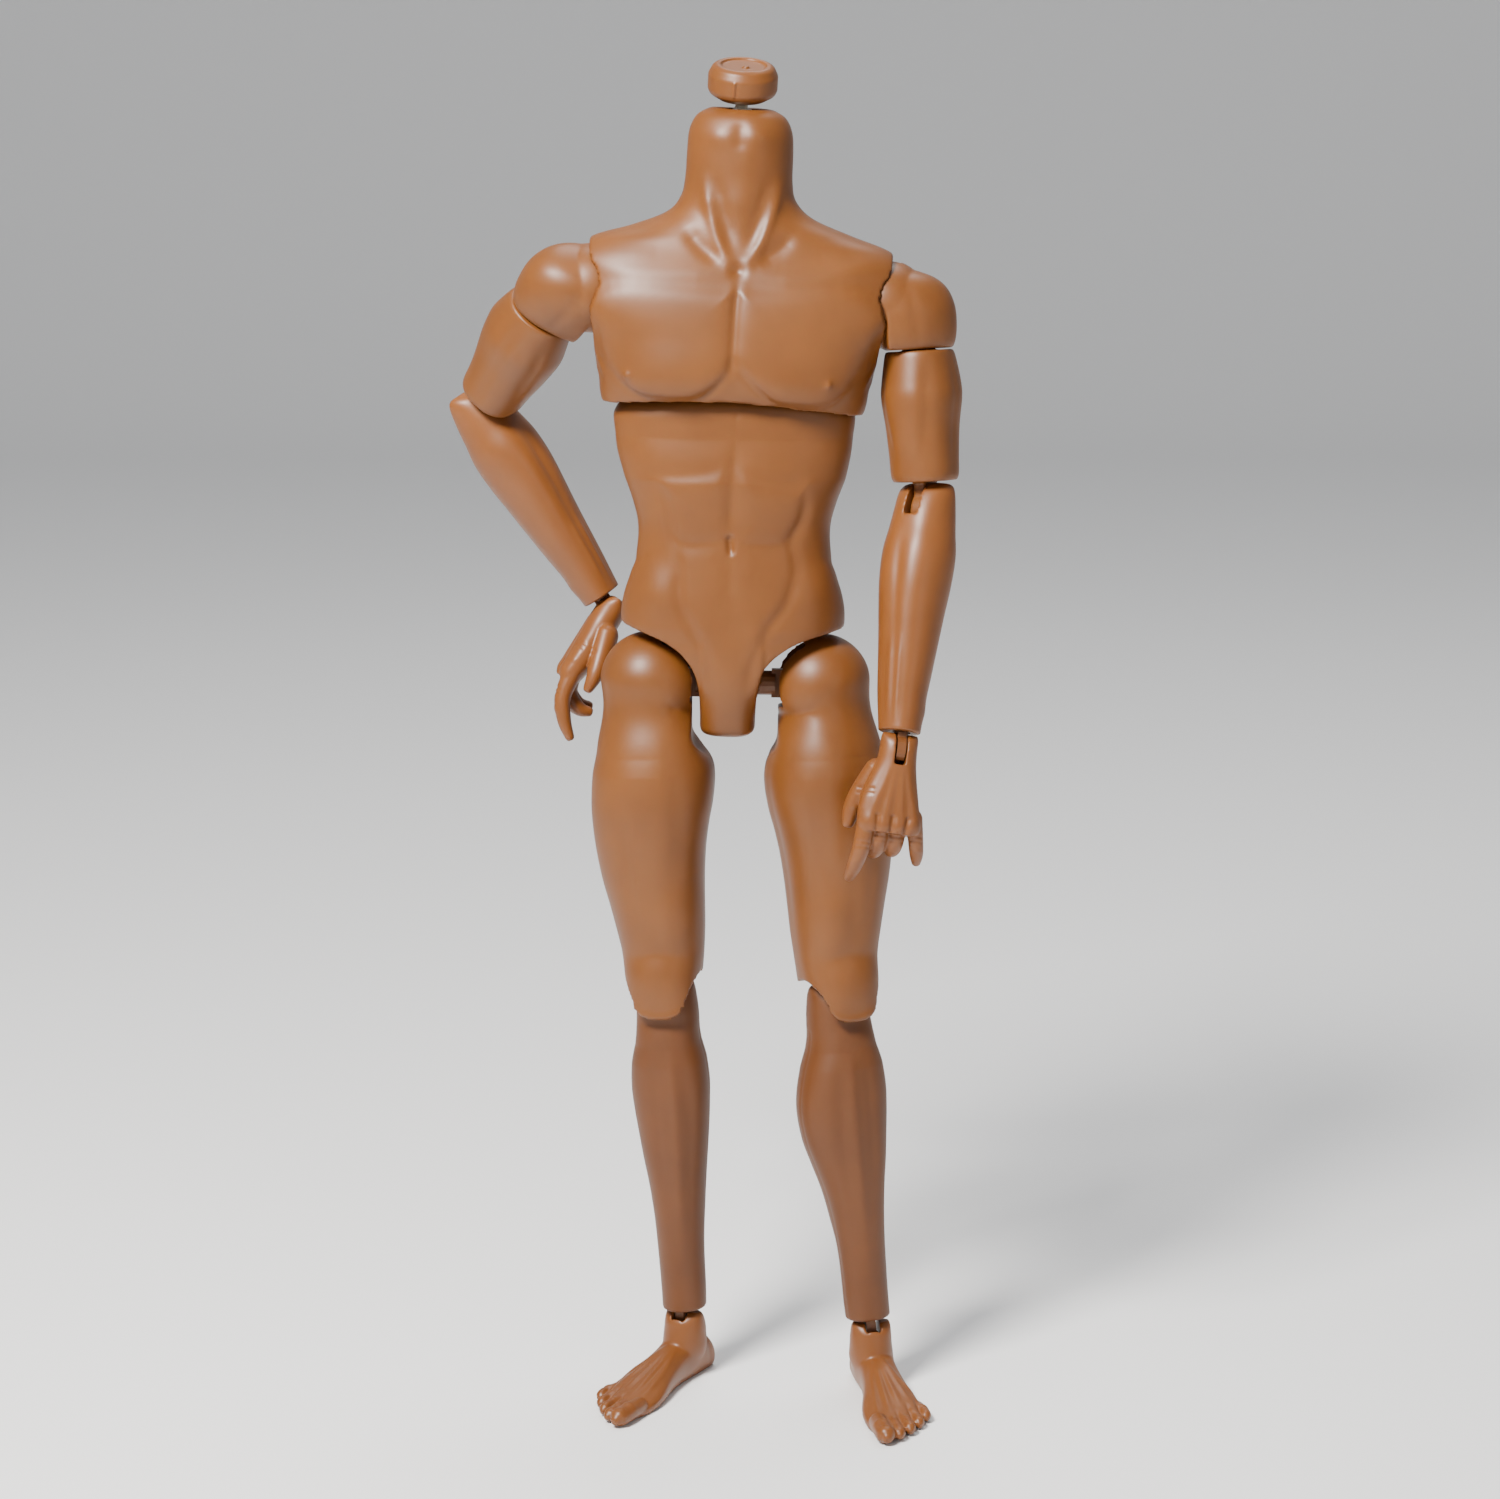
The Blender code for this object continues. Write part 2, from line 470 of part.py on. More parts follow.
def arm(side):
    t = tag(side)
    swing, cap_at, upper, elbow = ARM_FRAMES[side]
    turn, wrist = HAND_FRAMES[side]
    flip = Matrix.Rotation(math.pi, 4, "Z") if side < 0 else Matrix.Identity(4)

    bm = turned([(-14.6, 0), (-14.6, 6.0), (-12.0, 6.0), (-12.0, 2.6), (-9.6, 2.6), (-9.6, 0)],
                "X", 20)
    bmesh.ops.transform(bm, matrix=flip, verts=bm.verts)
    disc = piece("shoulder_disc_" + t, swing, bm, INNER)
    boolean(disc, cut("shoulder_tongue_" + t, swing,
                      plate(lay(tongue_outline(TONGUE_R, 10.2), -side), TONGUE)), "UNION")
    boolean(disc, cut("shoulder_eye_" + t, swing, cylinder(PIN_BORE, -6, 6, "Y", 12)))
    piece("shoulder_pin_" + t, cap_at, cylinder(PIN, -6.6, 6.0, "Y", 12), STEEL)

    cap = piece("shoulder_cap_" + t, cap_at, stack(CAP_ROWS, 20, 1, side), SKIN)
    boolean(cap, cut("cap_ball_" + t, cap_at, turned(ball_profile(BALL), "Z", 24)), "UNION")
    slot = [(-12, -3.4), (3.4, -3.4), (3.4, 12), (-12, 12)]
    boolean(cap, cut("cap_slot_" + t, cap_at,
                     plate([(u * side, v) for u, v in slot], TONGUE + GAP)))
    boolean(cap, cut("cap_eye_" + t, cap_at, cylinder(PIN_BORE, -14, 6.4, "Y", 12)))
    boolean(cap, cut("cap_bore_" + t, upper, turned(
        [(-4, 0), (-4, 3.5), (2.6, 3.5), (2.6, 4.3), (4.8, 4.3), (4.8, 0)], segments=20)))

    arm_bm = stack(UPPER_ARM_ROWS, RING, 1, side)
    upper_arm = piece("upper_arm_" + t, upper, arm_bm, SKIN)
    boolean(upper_arm, cut("arm_spigot_" + t, upper, turned(
        [(-3, 0), (-3, 3.2), (2.9, 3.2), (2.9, 4.0), (4.5, 4.0), (4.5, 0)], segments=20)), "UNION")
    tongue = cut("elbow_tongue_" + t, elbow, plate(
        broad_tongue(ELBOW_R, 4.4, 9.5), ELBOW_TONGUE, "X"))
    tongue.parent = upper
    tongue.matrix_local = at((0, 0, -UPPER_ARM))
    boolean(upper_arm, tongue, "UNION")
    boolean(upper_arm, cut("elbow_eye_" + t, elbow, cylinder(PIN_BORE, -4, 4, "X", 12)))
    bm = cylinder(PIN, -5.2, 5.2, "X", 12)
    piece("elbow_pin_" + t, elbow, bm, STEEL)

    fore = piece("forearm_" + t, elbow, stack(FOREARM_ROWS[::-1], RING, 1, side), LIMB)
    boolean(fore, cut("elbow_slot_" + t, elbow, plate(
        [(-4.7, -4.7), (3.6, -4.7), (3.6, 12), (-12, 12), (-12, -1.7), (-4.7, -1.7)],
        ELBOW_TONGUE + GAP, "X")))
    boolean(fore, cut("elbow_bore_" + t, elbow, cylinder(
        PIN_BORE, *((-5.5, 12) if side < 0 else (-12, 5.5)), "X", 12)))
    boolean(fore, cut("wrist_bore_" + t, turn, turned(
        [(-3, 0), (-3, 1.8), (4.0, 1.8), (4.0, 2.5), (5.8, 2.5), (5.8, 0)], segments=14)))

    peg = piece("wrist_peg_" + t, turn, turned(
        [(-0.75, 0), (-0.75, 1.5), (4.3, 1.5), (4.3, 2.2), (5.5, 2.2), (5.5, 0)], segments=14), INNER)
    lug = cut("wrist_tongue_" + t, turn, plate(broad_tongue(SMALL_R, 3.0, 3.4), SMALL_TONGUE, "X"))
    lug.matrix_local = at((0, 0, -WRIST_DROP))
    boolean(peg, lug, "UNION")
    boolean(peg, cut("wrist_eye_" + t, wrist, cylinder(0.9, -3, 3, "X", 10)))
    piece("wrist_pin_" + t, wrist, cylinder(0.6, -2.9, 2.9, "X", 10), STEEL)
    hand(side, wrist)


# palm rows: z, thumb side, little-finger side, back of the hand, palm, fullness
PALM_ROWS = [
    (-17.6, 6.2, 6.0, 2.2, 2.4, 2.6), (-15.6, 6.9, 6.6, 2.8, 3.1, 2.5),
    (-11.0, 6.8, 5.6, 3.0, 3.7, 2.4), (-6.5, 5.5, 4.6, 3.1, 3.6, 2.3), (-3.0, 4.4, 4.0, 3.3, 3.5, 2.2),
    (0.0, 4.1, 3.8, 3.3, 3.3, 2.2), (1.6, 4.1, 3.8, 2.9, 2.9, 2.2), (2.6, 4.0, 3.7, 2.05, 2.05, 2.2),
    (3.2, 3.8, 3.5, 0.9, 0.9, 2.2)]
# finger rows: x (little finger positive), y (palm positive), z, half width, half thickness
FINGERS = {
    "index": [(-4.7, 0.2, -14.6, 1.75, 1.8), (-5.0, 1.4, -20.4, 1.6, 1.6),
              (-5.4, 4.6, -24.2, 1.35, 1.35), (-5.7, 7.8, -26.2, 0.95, 0.9)],
    "middle": [(-1.5, 0.2, -14.4, 1.75, 1.8), (-1.6, 2.4, -18.6, 1.65, 1.65),
               (-1.6, 6.2, -19.5, 1.45, 1.45), (-1.5, 9.0, -18.0, 1.0, 1.0)],
    "ring": [(1.8, 0.2, -14.4, 1.75, 1.8), (2.0, 2.4, -18.4, 1.6, 1.6),
             (2.1, 5.9, -19.1, 1.4, 1.4), (2.2, 8.5, -17.5, 1.0, 1.0)],
    "little": [(5.0, 0.2, -13.6, 1.55, 1.6), (6.2, 1.5, -17.8, 1.4, 1.45),
               (7.2, 3.9, -20.4, 1.25, 1.25), (7.8, 6.2, -21.8, 0.85, 0.8)],
    "thumb": [(-3.6, 2.0, -4.6, 2.3, 2.2), (-6.0, 3.4, -9.2, 2.0, 2.0),
              (-7.4, 4.4, -13.0, 1.7, 1.6), (-7.8, 4.8, -16.2, 1.1, 1.0)]}


def hand(side, wrist):
    t = tag(side)
    palm = piece("hand_" + t, wrist, stack(PALM_ROWS, RING, 1, side), LIMB)
    for name, rows in FINGERS.items():
        finger = cut(name + "_" + t, wrist, tube([(x * side, y, z, a, b)
                                                  for x, y, z, a, b in rows]))
        boolean(palm, finger, "UNION")
    boolean(palm, cut("hand_slot_" + t, wrist, box(
        -SMALL_TONGUE - GAP, SMALL_TONGUE + GAP, -9, SMALL_R + 1.13, -3.3, 9)))
    boolean(palm, cut("hand_bore_" + t, wrist, cylinder(
        0.9, *((-3.1, 9) if side < 0 else (-9, 3.1)), "X", 10)))


# ---------------------------------------------------------------- legs
THIGH_ROWS = [
    (-3.0, 8.6, 10.2, 10.0, 10.0, 2.0), (-6.0, 9.2, 11.0, 10.6, 10.8, 2.1),
    (-9.5, 10.6, 11.7, 11.6, 12.0, 2.1), (-14.7, 12.5, 12.4, 12.8, 13.2, 2.2),
    (-20.0, 12.9, 13.3, 13.2, 13.4, 2.2), (-26.0, 12.2, 13.8, 13.2, 13.0, 2.2),
    (-31.0, 11.1, 13.7, 12.8, 12.2, 2.2), (-36.3, 10.2, 13.2, 12.2, 11.4, 2.2),
    (-42.0, 9.7, 12.3, 11.4, 10.6, 2.2), (-47.5, 9.5, 11.0, 10.6, 9.8, 2.2),
    (-53.0, 9.3, 9.8, 9.8, 9.2, 2.2), (-58.3, 9.0, 8.8, 9.2, 8.6, 2.2),
    (-63.7, 8.6, 8.3, 9.3, 8.2, 2.5), (-69.2, 8.1, 7.9, 9.1, 8.0, 2.8),
    (-73.2, 7.4, 7.2, 8.4, 7.6, 2.8)]
SHIN_INNER = {-1: -1.6, 1: 1.5}   # how much the calf swells towards the other leg
SHIN_ROWS = [
    (-70.3, 4.8, 4.6, 4.8, 5.0, 2.1), (-64.0, 5.1, 4.6, 5.0, 5.4, 2.1),
    (-56.3, 5.2, 4.8, 5.3, 5.8, 2.1), (-50.6, 5.5, 5.0, 5.7, 6.4, 2.1),
    (-45.0, 6.0, 5.3, 6.2, 7.4, 2.2), (-39.3, 6.8, 5.9, 6.8, 8.4, 2.2),
    (-33.6, 7.9, 6.7, 7.3, 9.2, 2.3), (-28.0, 9.0, 7.4, 7.7, 9.7, 2.3),
    (-22.0, 9.6, 8.1, 8.0, 9.8, 2.3), (-17.0, 9.5, 8.4, 8.1, 9.5, 2.3),
    (-11.5, 8.5, 8.0, 8.0, 8.8, 2.3), (-6.0, 7.2, 7.2, 7.6, 7.6, 2.3), (-2.5, 6.9, 6.9, 6.9, 6.9, 2.3),
    (0.0, 6.8, 6.8, 6.8, 6.7, 2.3), (3.6, 6.7, 6.7, 5.8, 5.6, 2.3), (5.6, 6.4, 6.4, 3.8, 3.7, 2.3),
    (6.5, 5.6, 5.6, 1.8, 1.8, 2.3)]
# foot rows: distance ahead of the ankle, inner, outer, top of the foot, fullness
FOOT_ROWS = [
    (-8.8, 1.8, 2.0, -7.4, 2.0), (-7.9, 2.9, 3.5, -5.0, 2.2), (-5.0, 3.4, 4.5, -2.6, 2.4),
    (0.0, 3.6, 4.8, -1.2, 2.4), (6.0, 3.6, 5.2, -3.2, 2.3), (12.0, 4.4, 5.8, -4.9, 2.3),
    (18.0, 5.9, 6.6, -6.4, 2.3), (22.0, 6.5, 6.8, -7.3, 2.3), (26.4, 6.4, 4.2, -8.0, 2.3),
    (29.6, 5.4, 0.6, -8.6, 2.2)]
# toes: across (outer positive), ahead, centre height above the sole, half width, half length
TOES = [(-4.4, 31.4, 2.1, 2.2, 5.0), (-1.3, 30.2, 1.7, 1.55, 4.5), (1.6, 27.6, 1.6, 1.5, 4.3),
        (4.3, 24.6, 1.5, 1.45, 4.0), (6.6, 21.4, 1.5, 1.4, 3.7)]
ANKLE_ROWS = [
    (-7.0, 3.6, 4.4, 6.0, 5.2, 2.2), (-3.5, 4.3, 4.6, 5.2, 5.0, 2.2), (0.0, 4.5, 4.5, 4.4, 4.4, 2.2),
    (1.8, 4.4, 4.4, 4.0, 3.6, 2.2), (3.0, 4.3, 4.3, 3.2, 2.6, 2.2), (3.9, 4.0, 4.0, 2.0, 1.4, 2.2)]


# what is cut away below the kneecap flap, (x, z): its upper edge is the flap's round border
KNEE_FLAP = [(-14, -THIGH - 20), (14, -THIGH - 20), (14, -THIGH + 6.6), (8.4, -THIGH + 6.2),
             (7.6, -THIGH + 3.6), (6.2, -THIGH + 1.2), (4.0, -THIGH - 0.7), (1.4, -THIGH - 1.5),
             (-1.4, -THIGH - 1.5), (-4.0, -THIGH - 0.7), (-6.2, -THIGH + 1.2), (-7.6, -THIGH + 3.6),
             (-8.4, -THIGH + 6.2), (-14, -THIGH + 6.6)]


def leg(side):
    t = tag(side)
    swing, spread, leg_at, knee = LEG_FRAMES[side]
    turn, ankle = FOOT_FRAMES[side]
    flip = Matrix.Rotation(math.pi, 4, "Z") if side < 0 else Matrix.Identity(4)

    bm = turned([(-16.8, 0), (-16.8, 2.6), (-15.8, 2.6), (-15.8, 3.6), (-14.2, 3.6), (-14.2, 2.6),
                 (-9.6, 2.6), (-9.6, 0)], "X", 16)
    bmesh.ops.transform(bm, matrix=flip, verts=bm.verts)
    disc = piece("hip_disc_" + t, swing, bm, INNER)
    boolean(disc, cut("hip_tongue_" + t, swing,
                      plate(lay(tongue_outline(TONGUE_R, 10.4), -side), TONGUE)), "UNION")
    boolean(disc, cut("hip_eye_" + t, swing, cylinder(PIN_BORE, -6, 6, "Y", 12)))
    piece("hip_pin_" + t, spread, cylinder(PIN, -3.2, 3.2, "Y", 12), STEEL)

    stem = piece("hip_stem_" + t, spread, turned(
        [(-18.0, 0), (-18.0, 2.4), (-16.6, 2.4), (-16.6, 3.3), (-15.2, 3.3), (-15.2, 2.4),
         (-5.2, 2.4), (-5.2, 3.5), (-3.8, 3.5), (-3.8, 0)], segments=16), INNER)
    for sign in (-1, 1):
        ear = cut("hip_ear_%s_%s" % (t, "rear" if sign > 0 else "fore"), spread, plate(
            tongue_outline(3.1, 4.6), 0.7, "Y", sign * 2.6))
        ear.matrix_local = at((0, 0, 0), ("X", 180))
        boolean(stem, ear, "UNION")
    boolean(stem, cut("stem_eye_" + t, spread, cylinder(PIN_BORE, -6, 6, "Y", 12)))

    thigh = piece("thigh_" + t, leg_at, stack(THIGH_ROWS[::-1], 20, 1, side), SKIN)
    boolean(thigh, cut("thigh_ball_" + t, leg_at, turned(ball_profile(HIP_BALL), "Z", 28)), "UNION")
    hollow = ([(-19.0, 0), (-19.0, 2.7), (-16.9, 2.7), (-16.9, 3.6), (-14.9, 3.6), (-14.9, 2.7)]
              + [(6.9 * math.sin(a), 6.9 * math.cos(a))
                 for a in (math.radians(d) for d in range(-66, 90, 12))] + [(6.9, 0)])
    boolean(thigh, cut("thigh_hollow_" + t, leg_at, turned(hollow, "Z", 20)))
    window = [(0, -3.8), (-16, -3.8), (-16, 16), (-9, 16), (0, 5.0)]
    boolean(thigh, cut("thigh_window_" + t, spread, plate([(u * side, v) for u, v in window], 5.6)))
    boolean(thigh, cut("thigh_recess_" + t, swing, cylinder(
        14.7, *((9.2, 24) if side < 0 else (-24, -9.2)), "X", 28)))
    boolean(thigh, cut("knee_cup_" + t, knee, cylinder(7.6, -14, 14, "X", 28)))
    boolean(thigh, cut("knee_rear_" + t, leg_at, plate(
        [(0.0, -THIGH), (16, -THIGH - 6), (16, -THIGH + 9.4), (5.6, -THIGH + 9.0)], 14, "X")))
    boolean(thigh, cut("knee_foot_" + t, leg_at, plate(KNEE_FLAP, 14)))
    boolean(thigh, cut("knee_tongue_" + t, leg_at, plate(
        [(y, z - THIGH) for y, z in tongue_outline(KNEE_R, 9.0)], KNEE_TONGUE, "X")), "UNION")
    boolean(thigh, cut("knee_eye_" + t, knee, cylinder(PIN_BORE, -4, 4, "X", 12)))
    piece("knee_pin_" + t, knee, cylinder(PIN, -5.6, 5.6, "X", 12), STEEL)

    swell = [(z, i + SHIN_INNER[side] * math.exp(-((z + 24) / 13) ** 2), *rest)
             for z, i, *rest in SHIN_ROWS]
    shin = piece("shin_" + t, knee, stack(swell, 18, 1, side), SKIN)
    boolean(shin, cut("shin_end_" + t, knee, box(-12, 12, -12, 12, -90, -SHIN + 4.75)))
    boolean(shin, cut("knee_slot_" + t, knee, box(
        -KNEE_SLOT, KNEE_SLOT, -KNEE_R - GAP, 14, -KNEE_R - GAP, 14)))
    boolean(shin, cut("knee_bore_" + t, knee, cylinder(
        PIN_BORE, *((-5.9, 12) if side < 0 else (-12, 5.9)), "X", 12)))
    boolean(shin, cut("ankle_bore_" + t, turn, turned(
        [(0, 0), (0, 2.2), (12.0, 2.2), (12.0, 3.1), (14.2, 3.1), (14.2, 0)], segments=14)))

    peg = piece("ankle_peg_" + t, turn, turned(
        [(4.6, 0), (4.6, 1.9), (12.3, 1.9), (12.3, 2.8), (13.9, 2.8), (13.9, 0)], segments=14),
        INNER)
    boolean(peg, cut("ankle_tongue_" + t, turn, plate(tongue_outline(2.1, 4.7), 1.05, "X")), "UNION")
    boolean(peg, cut("ankle_eye_" + t, ankle, cylinder(PIN_BORE, -3, 3, "X", 12)))
    piece("ankle_pin_" + t, ankle, cylinder(PIN, -3.4, 3.4, "X", 12), STEEL)
    foot(side, ankle)


def foot(side, ankle):
    t = tag(side)
    bm = bmesh.new()
    loops = []
    ring = 18
    for ahead, inner, outer, top, full in spline(FOOT_ROWS, 1):
        loop = []
        mid = (top - SOLE - 1.0) / 2
        for k in range(ring):
            a = 2 * math.pi * (k + 0.5) / ring
            c, s = math.cos(a), math.sin(a)
            x = math.copysign(abs(c) ** (2 / full), c) * (outer if c > 0 else inner)
            z = mid + math.copysign(abs(s) ** (2 / full), s) * (top - mid)
            loop.append(bm.verts.new((x * side, -ahead, z)))
        loops.append(loop)
    for lo, hi in zip(loops, loops[1:]):
        for k in range(ring):
            bm.faces.new((lo[k], lo[(k + 1) % ring], hi[(k + 1) % ring], hi[k]))
    close_ends(bm, loops)
    sole = piece("foot_" + t, ankle, bm, LIMB)
    boolean(sole, cut("ankle_column_" + t, ankle, stack(ANKLE_ROWS, 14, 1, side)), "UNION")
    for n, (across, ahead, height, half, long) in enumerate(TOES):
        z = height - SOLE
        toe = cut("toe_%d_%s" % (n + 1, t), ankle, tube(
            [(across * side * 0.96, -ahead + long, z - 0.2, half * 0.9, half * 0.9),
             (across * side, -ahead, z, half, half * 0.9),
             (across * side, -ahead - long * 0.7, z - 0.2, half * 0.9, half * 0.85),
             (across * side, -ahead - long, z - 0.3, half * 0.45, half * 0.45)]))
        boolean(sole, toe, "UNION")
    boolean(sole, cut("sole_" + t, ankle, box(-16, 16, -40, 20, -SOLE - 8, -SOLE)))
    boolean(sole, cut("foot_slot_" + t, ankle, plate(
        [(-2.45, -2.6), (9, -2.6), (9, 9), (-3.8, 9), (-3.8, 4.3), (-2.45, 0)], 1.5, "X")))
    boolean(sole, cut("foot_bore_" + t, ankle, cylinder(
        PIN_BORE, *((-3.7, 9) if side < 0 else (-9, 3.7)), "X", 12)))


# ---------------------------------------------------------------- build
SHOULDER_FRAME, HIP_FRAME, ARM_FRAMES, HAND_FRAMES, LEG_FRAMES, FOOT_FRAMES = {}, {}, {}, {}, {}, {}
for s in (-1, 1):
    t = tag(s)
    x, y, z = SHOULDER_AT
    face = empty("frame_shoulder_" + t, CHEST, at((s * x, y, z), ("Y", s * SHOULDER_CUT)))
    SHOULDER_FRAME[s] = face
    swing_s = empty("joint_shoulder_swing_" + t, face, at((0, 0, 0), ("X", SWING[s])))
    cap_s = empty("joint_shoulder_lift_" + t, swing_s,
                  at((0, 0, 0), ("Y", -s * (SHOULDER_CUT + ABDUCT[s]))))
    x, y, z = ARM_AT
    upper_s = empty("joint_arm_turn_" + t, cap_s, at((s * x, y, z), ("Z", ARM_TURN[s])))
    elbow_s = empty("joint_elbow_" + t, upper_s, at((0, 0, -UPPER_ARM), ("X", -ELBOW_FLEX[s])))
    ARM_FRAMES[s] = (swing_s, cap_s, upper_s, elbow_s)
    turn_s = empty("joint_hand_turn_" + t, elbow_s, at((0, 0, -FOREARM), ("Z", HAND_TURN[s])))
    wrist_s = empty("joint_wrist_" + t, turn_s, at((0, 0, -WRIST_DROP), ("X", -HAND_BACK[s])))
    HAND_FRAMES[s] = (turn_s, wrist_s)

    hip_world = WORLD["pelvis"] @ Matrix.Translation(Vector((HIP_X[s], 0.0, HIP_Z)) * MM)
    hip_mm = hip_world.translation / MM
    thigh_world = leg_frame(hip_mm, KNEE_AT[s], LEG_YAW[s])
    HIP_FRAME[s] = empty("frame_hip_" + t, PELVIS, at((HIP_X[s], 0.0, HIP_Z)))
    # swing about the pelvis X axis, then spread about Y, then turn about the thigh's own axis
    down = hip_world.to_3x3().inverted() @ (Vector(KNEE_AT[s]) - hip_mm).normalized()
    swing_deg = math.degrees(math.atan2(down.y, -down.z))
    spread_deg = math.degrees(math.asin(-down.x))
    hip_swing = empty("joint_hip_swing_" + t, HIP_FRAME[s], at((0, 0, 0), ("X", swing_deg)))
    hip_spread = empty("joint_hip_spread_" + t, hip_swing, at((0, 0, 0), ("Y", spread_deg)))
    spread_world = hip_world @ at((0, 0, 0), ("X", swing_deg), ("Y", spread_deg))
    stem_s = empty("joint_thigh_turn_" + t, hip_spread, spread_world.inverted() @ thigh_world)
    knee_world = leg_frame(KNEE_AT[s], ANKLE_AT[s], LEG_YAW[s])
    knee_s = empty("joint_knee_" + t, stem_s, thigh_world.inverted() @ knee_world)
    LEG_FRAMES[s] = (hip_swing, hip_spread, stem_s, knee_s)
    foot_world = at(ANKLE_AT[s], ("Z", FOOT_YAW[s]))
    shin_turn = knee_world @ at((0, 0, -SHIN), ("Z", FOOT_YAW[s] - LEG_YAW[s]))
    turn_f = empty("joint_foot_turn_" + t, knee_s, knee_world.inverted() @ shin_turn)
    ankle_f = empty("joint_ankle_" + t, turn_f, shin_turn.inverted() @ foot_world)
    FOOT_FRAMES[s] = (turn_f, ankle_f)

head_and_neck()
chest_halves()
torso_post()
abdomen_halves()
for s in (-1, 1):
    arm(s)
    leg(s)
bpy.context.view_layer.update()
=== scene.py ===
"""Looks of the jointed 1:6 doll body without a head.

Every shell is built in millimetres in the frame of the joint that carries it, remeshed finely,
sculpted, and then placed in the row's frame in metres.  side is -1 for the doll's right and +1
for its left; -Z runs down a limb and -Y is its front.
"""
import json
import math

import bpy
import numpy as np
from mathutils import Matrix, Vector
from mathutils.geometry import tessellate_polygon


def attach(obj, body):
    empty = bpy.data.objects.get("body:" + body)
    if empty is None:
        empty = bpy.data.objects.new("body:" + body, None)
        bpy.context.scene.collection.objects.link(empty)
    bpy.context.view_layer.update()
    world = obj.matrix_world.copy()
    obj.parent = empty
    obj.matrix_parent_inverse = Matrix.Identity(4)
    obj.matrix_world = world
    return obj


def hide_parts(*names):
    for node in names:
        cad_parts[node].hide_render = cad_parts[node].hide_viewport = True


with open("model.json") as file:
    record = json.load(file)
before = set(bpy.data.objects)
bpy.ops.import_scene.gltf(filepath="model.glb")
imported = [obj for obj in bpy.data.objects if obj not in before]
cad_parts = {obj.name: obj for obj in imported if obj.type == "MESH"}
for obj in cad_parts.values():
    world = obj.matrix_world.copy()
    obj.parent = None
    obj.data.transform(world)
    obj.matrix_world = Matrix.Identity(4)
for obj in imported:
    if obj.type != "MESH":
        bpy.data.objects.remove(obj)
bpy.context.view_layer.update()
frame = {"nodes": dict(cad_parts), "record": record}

GAP = 0.3                     # running clearance between two pieces
COARSE = 1.0
SMOOTH_FACTOR = 0.5

# ---------------------------------------------------------------- pose of the frames (mm, degrees)
FLOOR_CENTRE = (-9.98, -8.51)   # middle of the object's footprint, moved to the origin
PELVIS_AT, PELVIS_ROLL = (-3.75, 0.0, 160.0), 0.9
BEND_AT, CHEST_ROLL = (-3.9, 0.0, 208.0), 3.2
NECK_AT = (-1.4, 1.0, 58.0)   # in the chest frame
HEAD_AT, HEAD_TILT = (-1.6, 1.0, 72.4), 14.0
SHOULDER_AT = (30.67, 0.0, 27.9)
SHOULDER_CUT = 5.7            # slope of the flat shoulder end
HIP_X, HIP_Z = {-1: -17.3, 1: 18.8}, -6.0   # in the pelvis frame
ARM_AT = (6.5, 0.0, -9.8)     # swivel seam in the shoulder cap frame
UPPER_ARM, FOREARM, WRIST_DROP = 33.9, 46.7, 4.0
THIGH, SHIN, SOLE = 70.3, 73.1, 11.0
SWING = {-1: 38.0, 1: -6.0}
ABDUCT = {-1: 22.5, 1: 6.1}
ARM_TURN = {-1: 53.0, 1: -36.0}
ELBOW_FLEX = {-1: 71.0, 1: 17.0}
HAND_TURN = {-1: -136.0, 1: 44.0}
HAND_BACK = {-1: 67.0, 1: -5.0}
KNEE_AT = {-1: (-18.0, -3.0, 83.95), 1: (19.0, -5.5, 83.75)}
ANKLE_AT = {-1: (-14.2, -2.0, SOLE), 1: (26.2, -9.5, SOLE)}
LEG_YAW = {-1: -10.0, 1: 24.0}
FOOT_YAW = {-1: -30.0, 1: 11.0}

# ---------------------------------------------------------------- joint sizes (mm)
BALL, SOCKET = 9.3, 9.6       # shoulder ball and the cup it turns in
HIP_BALL, HIP_SOCKET = 11.0, 11.3
PIN_BORE = 1.3
TONGUE = 1.5                  # half thickness of the shoulder tongue
ELBOW_TONGUE, ELBOW_R = 1.4, 2.7
KNEE_TONGUE, KNEE_SLOT, KNEE_R = 1.65, 2.15, 3.4
SMALL_TONGUE, SMALL_R = 0.9, 1.8

# ---------------------------------------------------------------- sections of the shells (mm)
CHEST_ROWS = [
    (4.6, 27.4, 27.4, 13.9, 12.9, 2.5), (7.0, 28.0, 28.0, 14.6, 13.2, 2.5),
    (10.5, 28.4, 28.4, 15.2, 13.6, 2.5), (14.0, 29.2, 29.2, 15.4, 14.0, 2.4),
    (18.5, 31.5, 31.5, 15.2, 14.4, 2.4), (24.0, 35.0, 35.0, 14.6, 14.6, 2.5),
    (30.0, 36.0, 36.0, 13.4, 14.2, 2.5), (35.0, 35.5, 35.5, 12.0, 12.8, 2.4),
    (38.8, 31.0, 31.0, 10.4, 11.4, 2.2), (41.5, 23.0, 23.0, 9.6, 11.2, 2.1),
    (44.6, 15.9, 14.7, 9.2, 11.2, 2.0), (48.0, 13.2, 10.9, 9.2, 11.4, 2.0),
    (52.0, 12.5, 9.9, 9.0, 11.4, 2.0), (58.0, 12.4, 9.7, 9.0, 11.2, 2.0),
    (62.0, 12.1, 9.3, 8.6, 10.8, 2.0), (65.0, 10.6, 7.8, 7.2, 9.4, 2.0),
    (66.6, 7.8, 5.0, 5.0, 7.2, 2.0)]
